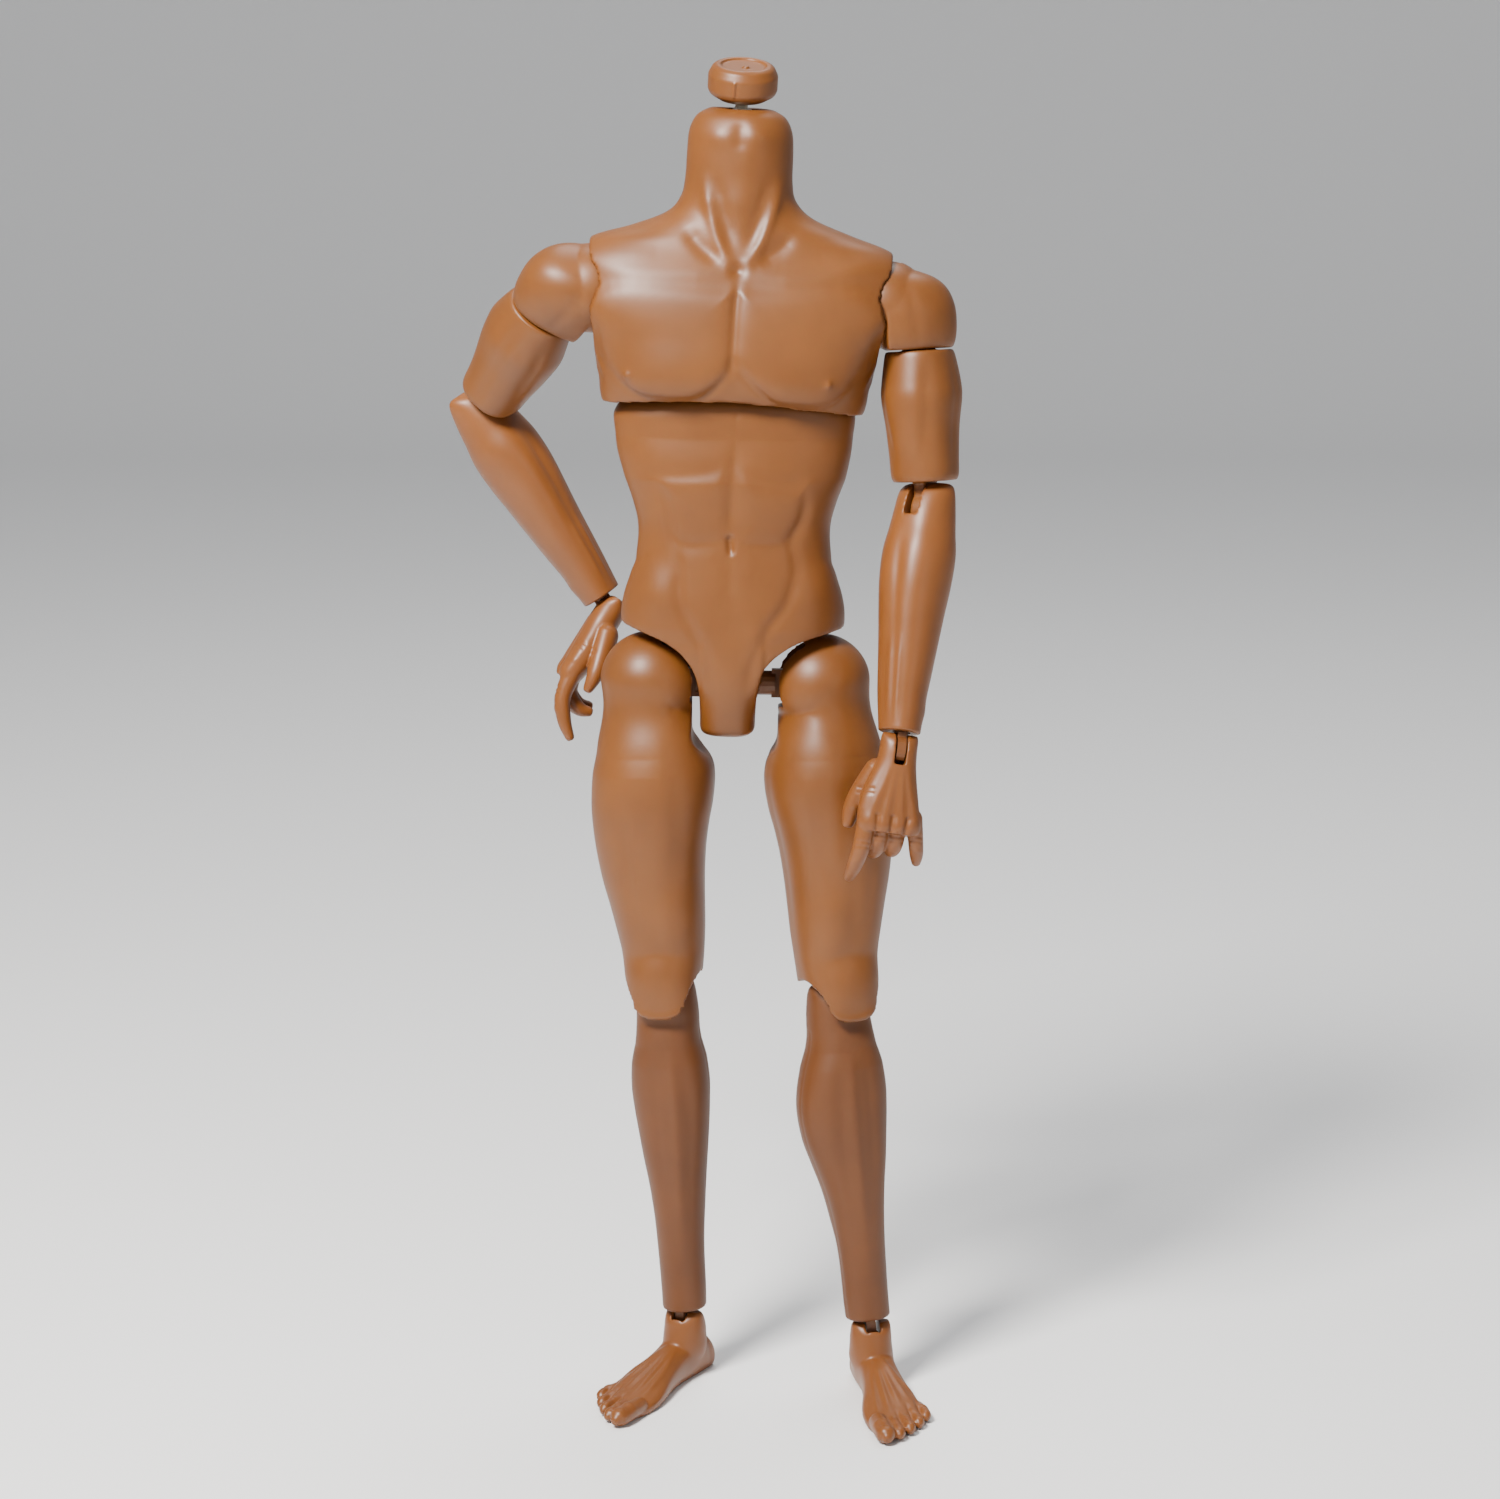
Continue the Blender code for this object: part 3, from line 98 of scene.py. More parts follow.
CAVITY_ROWS = [
    (-6.0, 26.8, 26.8, 13.2, 12.3, 2.5), (4.6, 26.8, 26.8, 13.2, 12.3, 2.5),
    (7.0, 26.7, 26.7, 13.2, 12.3, 2.5), (10.0, 25.4, 25.4, 12.6, 11.8, 2.5),
    (13.0, 20.0, 20.0, 9.0, 8.6, 2.4), (14.5, 9.0, 9.0, 5.0, 5.0, 2.2)]

ABDOMEN_ROWS = [
    (-16.8, 5.6, 3.7, 6.0, 5.0, 2.6), (-15.6, 6.9, 5.0, 7.8, 7.0, 2.8),
    (-12.0, 7.2, 5.4, 9.2, 9.2, 2.8), (-8.0, 9.0, 7.6, 10.4, 11.4, 2.6),
    (-4.0, 16.0, 15.6, 11.2, 13.0, 2.3), (0.0, 21.4, 21.4, 11.8, 13.8, 2.4),
    (4.0, 23.2, 23.2, 12.2, 13.8, 2.4), (9.0, 23.7, 23.7, 12.2, 13.0, 2.4),
    (13.0, 23.1, 23.1, 12.0, 11.8, 2.4), (17.5, 21.7, 21.7, 11.6, 10.8, 2.4),
    (22.5, 20.5, 20.5, 11.2, 10.2, 2.4), (28.0, 20.3, 20.3, 11.0, 10.0, 2.4),
    (33.0, 21.5, 21.5, 11.4, 10.2, 2.4), (38.3, 23.4, 23.4, 11.9, 10.6, 2.4),
    (44.0, 25.5, 25.0, 12.0, 10.9, 2.4), (50.0, 26.5, 25.9, 12.0, 10.9, 2.4),
    (52.2, 26.2, 25.6, 11.9, 10.8, 2.4), (54.5, 24.6, 24.0, 11.4, 10.3, 2.4),
    (56.5, 21.2, 20.6, 9.9, 9.0, 2.3), (58.0, 14.0, 13.6, 7.6, 7.0, 2.2)]
# front outline of the leg openings in the pelvis, (x, z)
HIP_OPENING = {
    -1: [(-6.9, -30), (-6.9, -14.7), (-7.2, -6.1), (-8.3, -2.1), (-10.9, 1.5), (-14.7, 4.0),
         (-19.5, 5.8), (-23.6, 7.2), (-40, 9), (-40, -30)],
    1: [(5.0, -30), (5.0, -14.7), (5.3, -6.1), (6.4, -2.1), (9.3, 1.2), (13.0, 3.6),
        (17.8, 5.3), (23.2, 6.5), (40, 8.4), (40, -30)]}
CAP_ROWS = [
    (-9.65, 0.6, 13.6, 7.4, 7.5, 2.1), (-8.0, 1.0, 14.3, 8.3, 8.4, 2.1),
    (-5.0, 1.2, 14.7, 9.0, 9.1, 2.1), (-1.0, 1.2, 14.5, 9.2, 9.2, 2.1),
    (2.6, 1.0, 13.1, 8.4, 8.4, 2.1), (5.0, 0.6, 10.6, 7.0, 7.0, 2.1),
    (6.6, 0.2, 7.0, 5.0, 5.0, 2.1)]
UPPER_ARM_ROWS = [
    (-0.15, 6.8, 6.8, 7.0, 7.4, 2.1), (-1.6, 7.2, 7.2, 7.4, 8.2, 2.1), (-6.4, 8.0, 8.0, 8.0, 9.1, 2.1),
    (-10.0, 8.2, 8.3, 8.3, 9.0, 2.1), (-15.8, 7.5, 7.4, 7.7, 8.4, 2.1),
    (-22.0, 7.1, 7.1, 7.0, 7.4, 2.2), (-26.0, 6.9, 6.9, 6.6, 7.0, 2.3),
    (-27.4, 6.4, 6.4, 6.2, 6.6, 2.3)]
FOREARM_ROWS = [
    (5.9, 5.0, 5.0, 1.8, 1.0, 2.2), (5.3, 5.9, 5.9, 3.3, 2.1, 2.2), (3.6, 6.5, 6.3, 5.1, 3.3, 2.2),
    (0.0, 6.8, 6.5, 6.2, 4.7, 2.2), (-4.2, 7.5, 6.8, 6.7, 5.8, 2.1),
    (-9.0, 8.3, 7.2, 7.3, 6.8, 2.1), (-15.0, 8.4, 6.8, 7.3, 6.9, 2.1),
    (-21.5, 7.9, 6.0, 6.8, 6.4, 2.1), (-30.0, 7.1, 5.2, 5.7, 5.5, 2.1),
    (-38.6, 6.3, 4.3, 4.8, 4.6, 2.1), (-44.0, 5.4, 4.0, 4.3, 4.1, 2.2),
    (-47.1, 4.9, 3.9, 4.1, 4.0, 2.2)]
# palm rows: z, thumb side, little-finger side, back of the hand, palm, fullness
PALM_ROWS = [
    (-17.6, 6.2, 6.0, 2.2, 2.4, 2.6), (-15.6, 6.9, 6.6, 2.8, 3.1, 2.5),
    (-11.0, 6.8, 5.6, 3.0, 3.7, 2.4), (-6.5, 5.5, 4.6, 3.1, 3.6, 2.3), (-3.0, 4.4, 4.0, 3.3, 3.5, 2.2),
    (0.0, 4.1, 3.8, 3.3, 3.3, 2.2), (1.6, 4.1, 3.8, 2.9, 2.9, 2.2), (2.6, 4.0, 3.7, 2.05, 2.05, 2.2),
    (3.2, 3.8, 3.5, 0.9, 0.9, 2.2)]
# finger rows: x (little finger positive), y (palm positive), z, half width, half thickness
FINGERS = {
    "index": [(-4.7, 0.2, -14.6, 1.75, 1.8), (-5.0, 1.4, -20.4, 1.6, 1.6),
              (-5.4, 4.6, -24.2, 1.35, 1.35), (-5.7, 7.8, -26.2, 0.95, 0.9)],
    "middle": [(-1.5, 0.2, -14.4, 1.75, 1.8), (-1.6, 2.4, -18.6, 1.65, 1.65),
               (-1.6, 6.2, -19.5, 1.45, 1.45), (-1.5, 9.0, -18.0, 1.0, 1.0)],
    "ring": [(1.8, 0.2, -14.4, 1.75, 1.8), (2.0, 2.4, -18.4, 1.6, 1.6),
             (2.1, 5.9, -19.1, 1.4, 1.4), (2.2, 8.5, -17.5, 1.0, 1.0)],
    "little": [(5.0, 0.2, -13.6, 1.55, 1.6), (6.2, 1.5, -17.8, 1.4, 1.45),
               (7.2, 3.9, -20.4, 1.25, 1.25), (7.8, 6.2, -21.8, 0.85, 0.8)],
    "thumb": [(-3.6, 2.0, -4.6, 2.3, 2.2), (-6.0, 3.4, -9.2, 2.0, 2.0),
              (-7.4, 4.4, -13.0, 1.7, 1.6), (-7.8, 4.8, -16.2, 1.1, 1.0)]}
THIGH_ROWS = [
    (-3.0, 8.6, 10.2, 10.0, 10.0, 2.0), (-6.0, 9.2, 11.0, 10.6, 10.8, 2.1),
    (-9.5, 10.6, 11.7, 11.6, 12.0, 2.1), (-14.7, 12.5, 12.4, 12.8, 13.2, 2.2),
    (-20.0, 12.9, 13.3, 13.2, 13.4, 2.2), (-26.0, 12.2, 13.8, 13.2, 13.0, 2.2),
    (-31.0, 11.1, 13.7, 12.8, 12.2, 2.2), (-36.3, 10.2, 13.2, 12.2, 11.4, 2.2),
    (-42.0, 9.7, 12.3, 11.4, 10.6, 2.2), (-47.5, 9.5, 11.0, 10.6, 9.8, 2.2),
    (-53.0, 9.3, 9.8, 9.8, 9.2, 2.2), (-58.3, 9.0, 8.8, 9.2, 8.6, 2.2),
    (-63.7, 8.6, 8.3, 9.3, 8.2, 2.5), (-69.2, 8.1, 7.9, 9.1, 8.0, 2.8),
    (-73.2, 7.4, 7.2, 8.4, 7.6, 2.8)]
SHIN_INNER = {-1: -1.6, 1: 1.5}   # how much the calf swells towards the other leg
SHIN_ROWS = [
    (-70.3, 4.8, 4.6, 4.8, 5.0, 2.1), (-64.0, 5.1, 4.6, 5.0, 5.4, 2.1),
    (-56.3, 5.2, 4.8, 5.3, 5.8, 2.1), (-50.6, 5.5, 5.0, 5.7, 6.4, 2.1),
    (-45.0, 6.0, 5.3, 6.2, 7.4, 2.2), (-39.3, 6.8, 5.9, 6.8, 8.4, 2.2),
    (-33.6, 7.9, 6.7, 7.3, 9.2, 2.3), (-28.0, 9.0, 7.4, 7.7, 9.7, 2.3),
    (-22.0, 9.6, 8.1, 8.0, 9.8, 2.3), (-17.0, 9.5, 8.4, 8.1, 9.5, 2.3),
    (-11.5, 8.5, 8.0, 8.0, 8.8, 2.3), (-6.0, 7.2, 7.2, 7.6, 7.6, 2.3), (-2.5, 6.9, 6.9, 6.9, 6.9, 2.3),
    (0.0, 6.8, 6.8, 6.8, 6.7, 2.3), (3.6, 6.7, 6.7, 5.8, 5.6, 2.3), (5.6, 6.4, 6.4, 3.8, 3.7, 2.3),
    (6.5, 5.6, 5.6, 1.8, 1.8, 2.3)]
# foot rows: distance ahead of the ankle, inner, outer, top of the foot, fullness
FOOT_ROWS = [
    (-8.8, 1.8, 2.0, -7.4, 2.0), (-7.9, 2.9, 3.5, -5.0, 2.2), (-5.0, 3.4, 4.5, -2.6, 2.4),
    (0.0, 3.6, 4.8, -1.2, 2.4), (6.0, 3.6, 5.2, -3.2, 2.3), (12.0, 4.4, 5.8, -4.9, 2.3),
    (18.0, 5.9, 6.6, -6.4, 2.3), (22.0, 6.5, 6.8, -7.3, 2.3), (26.4, 6.4, 4.2, -8.0, 2.3),
    (29.6, 5.4, 0.6, -8.6, 2.2)]
# toes: across (outer positive), ahead, centre height above the sole, half width, half length
TOES = [(-4.4, 31.4, 2.1, 2.2, 5.0), (-1.3, 30.2, 1.7, 1.55, 4.5), (1.6, 27.6, 1.6, 1.5, 4.3),
        (4.3, 24.6, 1.5, 1.45, 4.0), (6.6, 21.4, 1.5, 1.4, 3.7)]
ANKLE_ROWS = [
    (-7.0, 3.6, 4.4, 6.0, 5.2, 2.2), (-3.5, 4.3, 4.6, 5.2, 5.0, 2.2), (0.0, 4.5, 4.5, 4.4, 4.4, 2.2),
    (1.8, 4.4, 4.4, 4.0, 3.6, 2.2), (3.0, 4.3, 4.3, 3.2, 2.6, 2.2), (3.9, 4.0, 4.0, 2.0, 1.4, 2.2)]


# what is cut away below the kneecap flap, (x, z): its upper edge is the flap's round border
KNEE_FLAP = [(-14, -THIGH - 20), (14, -THIGH - 20), (14, -THIGH + 6.6), (8.4, -THIGH + 6.2),
             (7.6, -THIGH + 3.6), (6.2, -THIGH + 1.2), (4.0, -THIGH - 0.7), (1.4, -THIGH - 1.5),
             (-1.4, -THIGH - 1.5), (-4.0, -THIGH - 0.7), (-6.2, -THIGH + 1.2), (-7.6, -THIGH + 3.6),
             (-8.4, -THIGH + 6.2), (-14, -THIGH + 6.6)]


# ---------------------------------------------------------------- frames (mm)
def at(xyz, *turns):
    """A place, then turns given as ("X", degrees)."""
    out = Matrix.Translation(Vector(xyz))
    for axis, degrees in turns:
        out = out @ Matrix.Rotation(math.radians(degrees), 4, axis)
    return out


def leg_frame(origin, target, yaw):
    """Frame at origin whose -Z runs to the target and whose X is turned by yaw about Z."""
    z = (Vector(origin) - Vector(target)).normalized()
    x = Vector((math.cos(math.radians(yaw)), math.sin(math.radians(yaw)), 0))
    x = (x - z * x.dot(z)).normalized()
    return Matrix.Translation(Vector(origin)) @ Matrix((x, z.cross(x), z)).transposed().to_4x4()


def all_frames():
    root = at((-FLOOR_CENTRE[0], -FLOOR_CENTRE[1], 0.0))
    pelvis = at(PELVIS_AT, ("Y", PELVIS_ROLL))
    chest = at(BEND_AT, ("Y", CHEST_ROLL))
    out = {"pelvis": pelvis, "chest": chest, "neck": chest @ at(NECK_AT),
           "head": chest @ at(HEAD_AT, ("X", HEAD_TILT))}
    for s in (-1, 1):
        x, y, z = SHOULDER_AT
        face = chest @ at((s * x, y, z), ("Y", s * SHOULDER_CUT))
        swing = face @ at((0, 0, 0), ("X", SWING[s]))
        cap = swing @ at((0, 0, 0), ("Y", -s * (SHOULDER_CUT + ABDUCT[s])))
        x, y, z = ARM_AT
        upper = cap @ at((s * x, y, z), ("Z", ARM_TURN[s]))
        elbow = upper @ at((0, 0, -UPPER_ARM), ("X", -ELBOW_FLEX[s]))
        turn = elbow @ at((0, 0, -FOREARM), ("Z", HAND_TURN[s]))
        wrist = turn @ at((0, 0, -WRIST_DROP), ("X", -HAND_BACK[s]))
        hip = pelvis @ at((HIP_X[s], 0.0, HIP_Z))
        thigh = leg_frame(hip.translation, KNEE_AT[s], LEG_YAW[s])
        down = hip.to_3x3().inverted() @ (Vector(KNEE_AT[s]) - hip.translation).normalized()
        hip_swing = hip @ at((0, 0, 0), ("X", math.degrees(math.atan2(down.y, -down.z))))
        spread = hip_swing @ at((0, 0, 0), ("Y", math.degrees(math.asin(-down.x))))
        knee = leg_frame(KNEE_AT[s], ANKLE_AT[s], LEG_YAW[s])
        out.update({
            ("face", s): face, ("swing", s): swing, ("cap", s): cap, ("upper", s): upper,
            ("elbow", s): elbow, ("turn", s): turn, ("wrist", s): wrist, ("hip", s): hip,
            ("hip_swing", s): hip_swing, ("spread", s): spread, ("thigh", s): thigh,
            ("knee", s): knee, ("foot_turn", s): knee @ at((0, 0, -SHIN), ("Z", FOOT_YAW[s] - LEG_YAW[s])),
            ("foot", s): at(ANKLE_AT[s], ("Z", FOOT_YAW[s]))})
    return {key: root @ value for key, value in out.items()}


FRAMES = all_frames()


# ---------------------------------------------------------------- meshes as (points, triangles)
def closed(points, faces):
    """Points and triangles with the faces turned outwards."""
    v = np.array(points, float)
    f = np.array(faces, int)
    a, b, c = v[f[:, 0]], v[f[:, 1]], v[f[:, 2]]
    if (a * np.cross(b, c)).sum() < 0:
        f = f[:, ::-1]
    return v, f


def loft(loops):
    """Skin over equal loops of points, closed by a fan at each end."""
    n = len(loops[0])
    points = [p for loop in loops for p in loop]
    faces = []
    for i in range(len(loops) - 1):
        lo, hi = i * n, (i + 1) * n
        for k in range(n):
            j = (k + 1) % n
            faces += [(lo + k, lo + j, hi + j), (lo + k, hi + j, hi + k)]
    for i, flip in ((0, True), (len(loops) - 1, False)):
        middle = len(points)
        points.append(tuple(np.mean(np.array(loops[i]), axis=0)))
        for k in range(n):
            pair = (i * n + k, i * n + (k + 1) % n)
            faces.append((pair[1], pair[0], middle) if flip else (*pair, middle))
    return closed(points, faces)


def spline(rows, steps):
    """Catmull-Rom rows between the named rows."""
    rows = np.array(rows, float)
    out = []
    for i in range(len(rows) - 1):
        a, b, c, d = (rows[max(i - 1, 0)], rows[i], rows[i + 1], rows[min(i + 2, len(rows) - 1)])
        for k in range(steps):
            t = k / steps
            out.append(0.5 * (2 * b + (c - a) * t + (2 * a - 5 * b + 4 * c - d) * t * t
                              + (3 * b - a - 3 * c + d) * t ** 3))
    out.append(rows[-1])
    return out


def power(value, full):
    return math.copysign(abs(value) ** (2 / full), value)


def stack(rows, side=1, ring=112, steps=6, arch=None):
    """Loft of oval sections stacked in Z; a row is (z, inner, outer, front, back, fullness)."""
    loops = []
    for z, inner, outer, front, back, full in spline(rows, steps):
        loop = []
        for k in range(ring):
            a = 2 * math.pi * (k + 0.5) / ring
            c, s = math.cos(a), math.sin(a)
            x = power(c, full) * (outer if c > 0 else inner)
            y = power(s, full) * (back if s > 0 else front)
            loop.append((x * side, y, z + (arch(x, y, z) if arch else 0.0)))
        loops.append(loop)
    return loft(loops)


def turned(profile, axis="Z", segments=72, flip=False):
    """Solid of revolution; the profile lists (height, radius)."""
    loops = [[(max(r, 1e-4) * math.cos(math.pi * (2 * k + 1) / segments),
               max(r, 1e-4) * math.sin(math.pi * (2 * k + 1) / segments), h)
              for k in range(segments)] for h, r in profile]
    v, f = loft(loops)
    if axis == "X":
        v = np.stack([v[:, 2], v[:, 1], -v[:, 0]], 1)
    elif axis == "Y":
        v = np.stack([v[:, 0], -v[:, 2], v[:, 1]], 1)
    if flip:
        v = v * (-1, -1, 1)
    return closed(v, f)


def ball(radius, rings=28):
    return turned([(radius * math.sin(a), radius * math.cos(a)) for a in
                   (math.pi * (k / rings - 0.5) for k in range(rings + 1))])


def cylinder(radius, low, high, axis="Z"):
    return turned([(low, 0), (low, radius), (high, radius), (high, 0)], axis)


def box(x0, x1, y0, y1, z0, z1):
    v = [(x, y, z) for z in (z0, z1) for x, y in ((x0, y0), (x1, y0), (x1, y1), (x0, y1))]
    f = [(0, 2, 1), (0, 3, 2), (4, 5, 6), (4, 6, 7)]
    for k in range(4):
        j = (k + 1) % 4
        f += [(k, j, j + 4), (k, j + 4, k + 4)]
    return closed(v, f)


def plate(outline, half, axis="Y", centre=0.0):
    """Flat plate of the outline: (x, z) for axis Y, (y, z) for axis X."""
    n = len(outline)
    v = [(u, centre + d, w) if axis == "Y" else (centre + d, u, w)
         for d in (-half, half) for u, w in outline]
    caps = tessellate_polygon([[Vector((u, w, 0)) for u, w in outline]])
    f = []
    for a, b, c in caps:
        f += [(a, b, c), (a + n, c + n, b + n)]
    sign = sum(outline[k][0] * outline[(k + 1) % n][1] - outline[(k + 1) % n][0] * outline[k][1]
               for k in range(n))
    a, b, c = caps[0]
    turn = np.cross(np.subtract(outline[b], outline[a]), np.subtract(outline[c], outline[a]))
    for k in range(n):
        j = (k + 1) % n
        quad = [(k, k + n, j + n), (k, j + n, j)] if turn * sign > 0 else [(j, j + n, k + n), (j, k + n, k)]
        f += quad
    return closed(v, f)


def tongue_outline(radius, reach, points=25):
    arc = [(radius * math.cos(a), radius * math.sin(a))
           for a in (math.pi + math.pi * k / (points - 1) for k in range(points))]
    return arc + [(radius, reach), (-radius, reach)]


def broad_tongue(radius, front, reach, points=18):
    """Tongue whose front half is a wider disc, so that it fills its slot at the surface."""
    start, end = math.acos(-radius / front), math.radians(235)
    fore = [start + (end - start) * k / points for k in range(points + 1)]
    rear = [math.radians(300 + 60 * k / 8) for k in range(9)]
    return ([(front * math.cos(a), front * math.sin(a)) for a in fore]
            + [(radius * math.cos(a), radius * math.sin(a)) for a in rear]
            + [(radius, reach), (-radius, reach)])


def rounded(outline, turns=3):
    """Chaikin corner cutting of a closed outline."""
    pts = np.array(outline, float)
    for _ in range(turns):
        nxt = np.roll(pts, -1, axis=0)
        pts = np.stack([0.8 * pts + 0.2 * nxt, 0.2 * pts + 0.8 * nxt], 1).reshape(-1, 2)
    return [tuple(p) for p in pts]


def tube(points, ring=28, steps=5):
    """Round tube with domed ends through (x, y, z, across, thick) points."""
    rows = spline(points, steps)
    centres = np.array([r[:3] for r in rows])
    dome = ((0.85, 0.45), (0.55, 0.75))     # (size, distance beyond the end) of the end rings
    loops = []
    for i, row in enumerate(rows):
        along = centres[min(i + 1, len(rows) - 1)] - centres[max(i - 1, 0)]
        along /= np.linalg.norm(along)
        across = np.array([1.0, 0, 0]) - along * along[0]
        across /= np.linalg.norm(across)
        thick = np.cross(along, across)
        rings = [(1.0, 0.0)]
        if i == 0:
            rings = [(size, -ahead) for size, ahead in reversed(dome)] + rings
        if i == len(rows) - 1:
            rings += dome
        for size, ahead in rings:
            loops.append([tuple(row[:3] + along * ahead * row[4] + size * (
                across * row[3] * math.cos(a) + thick * row[4] * math.sin(a)))
                for a in (2 * math.pi * k / ring for k in range(ring))])
    return loft(loops)


def moved(shape, matrix):
    v, f = shape
    m = np.array(matrix)
    return closed(v @ m[:3, :3].T + m[:3, 3], f)


# ---------------------------------------------------------------- Blender meshes
def to_object(name, shape):
    v, f = shape
    mesh = bpy.data.meshes.new(name)
    mesh.from_pydata([tuple(p) for p in v], [], [tuple(int(i) for i in t) for t in f])
    mesh.update()
    ob = bpy.data.objects.new(name, mesh)
    bpy.context.scene.collection.objects.link(ob)
    return ob


def fuse(name, base, adds=(), cuts=(), late=(), voxel=0.4, smooth=3):
    """base + adds - cuts + late, remeshed and smoothed; returns an object in local mm."""
    ob = to_object(name, base)
    tools = []
    for operation, shapes in (("UNION", adds), ("DIFFERENCE", cuts), ("UNION", late)):
        for shape in shapes:
            tool = to_object("tool", shape)
            tools.append(tool)
            mod = ob.modifiers.new("b", "BOOLEAN")
            mod.operation, mod.solver, mod.object = operation, "MANIFOLD", tool
    if voxel:
        mod = ob.modifiers.new("r", "REMESH")
        mod.mode, mod.voxel_size = "VOXEL", voxel * COARSE
    if smooth:
        mod = ob.modifiers.new("s", "SMOOTH")
        mod.factor, mod.iterations = SMOOTH_FACTOR, smooth
    graph = bpy.context.evaluated_depsgraph_get()
    mesh = bpy.data.meshes.new_from_object(ob.evaluated_get(graph))
    old = ob.data
    ob.modifiers.clear()
    ob.data = mesh
    bpy.data.meshes.remove(old)
    for tool in tools:
        data = tool.data
        bpy.data.objects.remove(tool)
        bpy.data.meshes.remove(data)
    mesh.name = name
    return ob


class Clay:
    """Adds soft ridges, creases, pads and bumps to a mesh along its own normals."""

    VIEWS = {"front": (0, 2, (0, -1, 0)), "back": (0, 2, (0, 1, 0)), "left": (1, 2, (1, 0, 0)),
             "right": (1, 2, (-1, 0, 0)), "top": (0, 1, (0, 0, 1))}

    def __init__(self, ob, side=1):
        self.ob, self.side = ob, side
        n = len(ob.data.vertices)
        self.v = np.empty(n * 3)
        ob.data.vertices.foreach_get("co", self.v)
        self.v = self.v.reshape(-1, 3)
        normals = np.empty(n * 3)
        ob.data.vertex_normals.foreach_get("vector", normals)
        self.n = normals.reshape(-1, 3)
        self.d = np.zeros(n)

    def _plane(self, view, depth):
        i, j, facing = self.VIEWS[view]
        weight = np.clip(self.n @ np.array(facing, float), 0, 1)
        weight = np.clip((weight - 0.05) / 0.45, 0, 1)
        if depth is not None:
            k = 3 - i - j
            weight = weight * (self.v[:, k] * facing[k] > depth)
        p = self.v[:, [i, j]].copy()
        if i == 0:
            p[:, 0] *= self.side
        return p, weight * weight * (3 - 2 * weight)

    @staticmethod
    def _distance(p, pts):
        """Distance to a polyline, and how far along it the nearest point lies (0 to 1)."""
        pts = np.array(pts, float)
        lengths = np.linalg.norm(np.diff(pts, axis=0), axis=1)
        total, start = lengths.sum(), 0.0
        best, along = np.full(len(p), 1e9), np.zeros(len(p))
        for a, b, length in zip(pts[:-1], pts[1:], lengths):
            t = np.clip(((p - a) @ (b - a)) / max(length ** 2, 1e-9), 0, 1)
            d = np.linalg.norm(p - (a + t[:, None] * (b - a)), axis=1)
            near = d < best
            best[near] = d[near]
            along[near] = (start + t[near] * length) / total
            start += length
        return best, along

    def line(self, pts, amount, width, view="front", taper=0.25, depth=None):
        """Ridge (amount > 0) or crease (amount < 0) along a smoothed polyline."""
        p, w = self._plane(view, depth)
        pts = spline(pts, 5) if len(pts) > 2 else pts
        d, t = self._distance(p, pts)
        ends = np.clip(np.minimum(t, 1 - t) / taper, 0.0, 1) if taper else 1.0
        ends = 0.25 + 0.75 * ends if taper else 1.0
        self.d += amount * np.exp(-(d / width) ** 2) * w * ends

    def pad(self, outline, amount, soft, view="front", depth=None):
        """Raised plate inside the outline that falls off over `soft` mm at its border."""
        p, w = self._plane(view, depth)
        pts = np.array([tuple(q) for q in spline(list(outline) + [outline[0]], 4)])
        d, _ = self._distance(p, pts)
        inside = np.zeros(len(p), bool)
        for a, b in zip(pts, np.roll(pts, -1, axis=0)):
            crosses = (a[1] > p[:, 1]) != (b[1] > p[:, 1])
            with np.errstate(divide="ignore", invalid="ignore"):
                x = (b[0] - a[0]) * (p[:, 1] - a[1]) / (b[1] - a[1]) + a[0]
            inside ^= crosses & (p[:, 0] < x)
        signed = np.where(inside, d, -d)
        self.d += amount * w / (1 + np.exp(-np.clip(signed / (soft * 0.42), -30, 30)))

    def bump(self, centre, size, amount, view="front", depth=None, power=2.0):
        """Round or oval swelling; size is (across, up)."""
        p, w = self._plane(view, depth)
        q = (p - np.array(centre, float)) / np.array(size, float)
        self.d += amount * np.exp(-(q ** 2).sum(1) ** (power / 2)) * w

    def melt(self, weight, rounds):
        """Laplacian smoothing where the weight function of (x, y, z) is above zero."""
        edges = np.empty(len(self.ob.data.edges) * 2, int)
        self.ob.data.edges.foreach_get("vertices", edges)
        a, b = edges.reshape(-1, 2).T
        count = np.bincount(np.concatenate([a, b]), minlength=len(self.v))[:, None]
        w = weight(self.v[:, 0] * self.side, self.v[:, 1], self.v[:, 2])[:, None]
        for _ in range(rounds):
            total = np.zeros_like(self.v)
            for k in range(3):
                total[:, k] = (np.bincount(a, self.v[b, k], len(self.v))
                               + np.bincount(b, self.v[a, k], len(self.v)))
            self.v += 0.6 * w * (total / np.maximum(count, 1) - self.v)

    def hold(self, weight, gap):
        """Where the weight is 1 the surface does not swell at all, and lies back by the gap."""
        self.d -= weight * (np.maximum(self.d, 0) + gap)

    def done(self):
        v = self.v + self.n * self.d[:, None]
        self.ob.data.vertices.foreach_set("co", v.ravel())
        self.ob.data.update()


def finish_piece(ob, frame_key, body, nodes, material):
    """Move the piece from its joint's frame in mm to the row's frame in metres, and hand it over."""
    m = np.array(FRAMES[frame_key])
    n = len(ob.data.vertices)
    v = np.empty(n * 3)
    ob.data.vertices.foreach_get("co", v)
    v = (v.reshape(-1, 3) @ m[:3, :3].T + m[:3, 3]) * 0.001
    ob.data.vertices.foreach_set("co", v.ravel())
    ob.data.materials.clear()
    ob.data.materials.append(material)
    ob.data.polygons.foreach_set("use_smooth", np.ones(len(ob.data.polygons), bool))
    ob.data.update()
    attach(ob, body)
    if nodes:
        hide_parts(*nodes)
    return ob


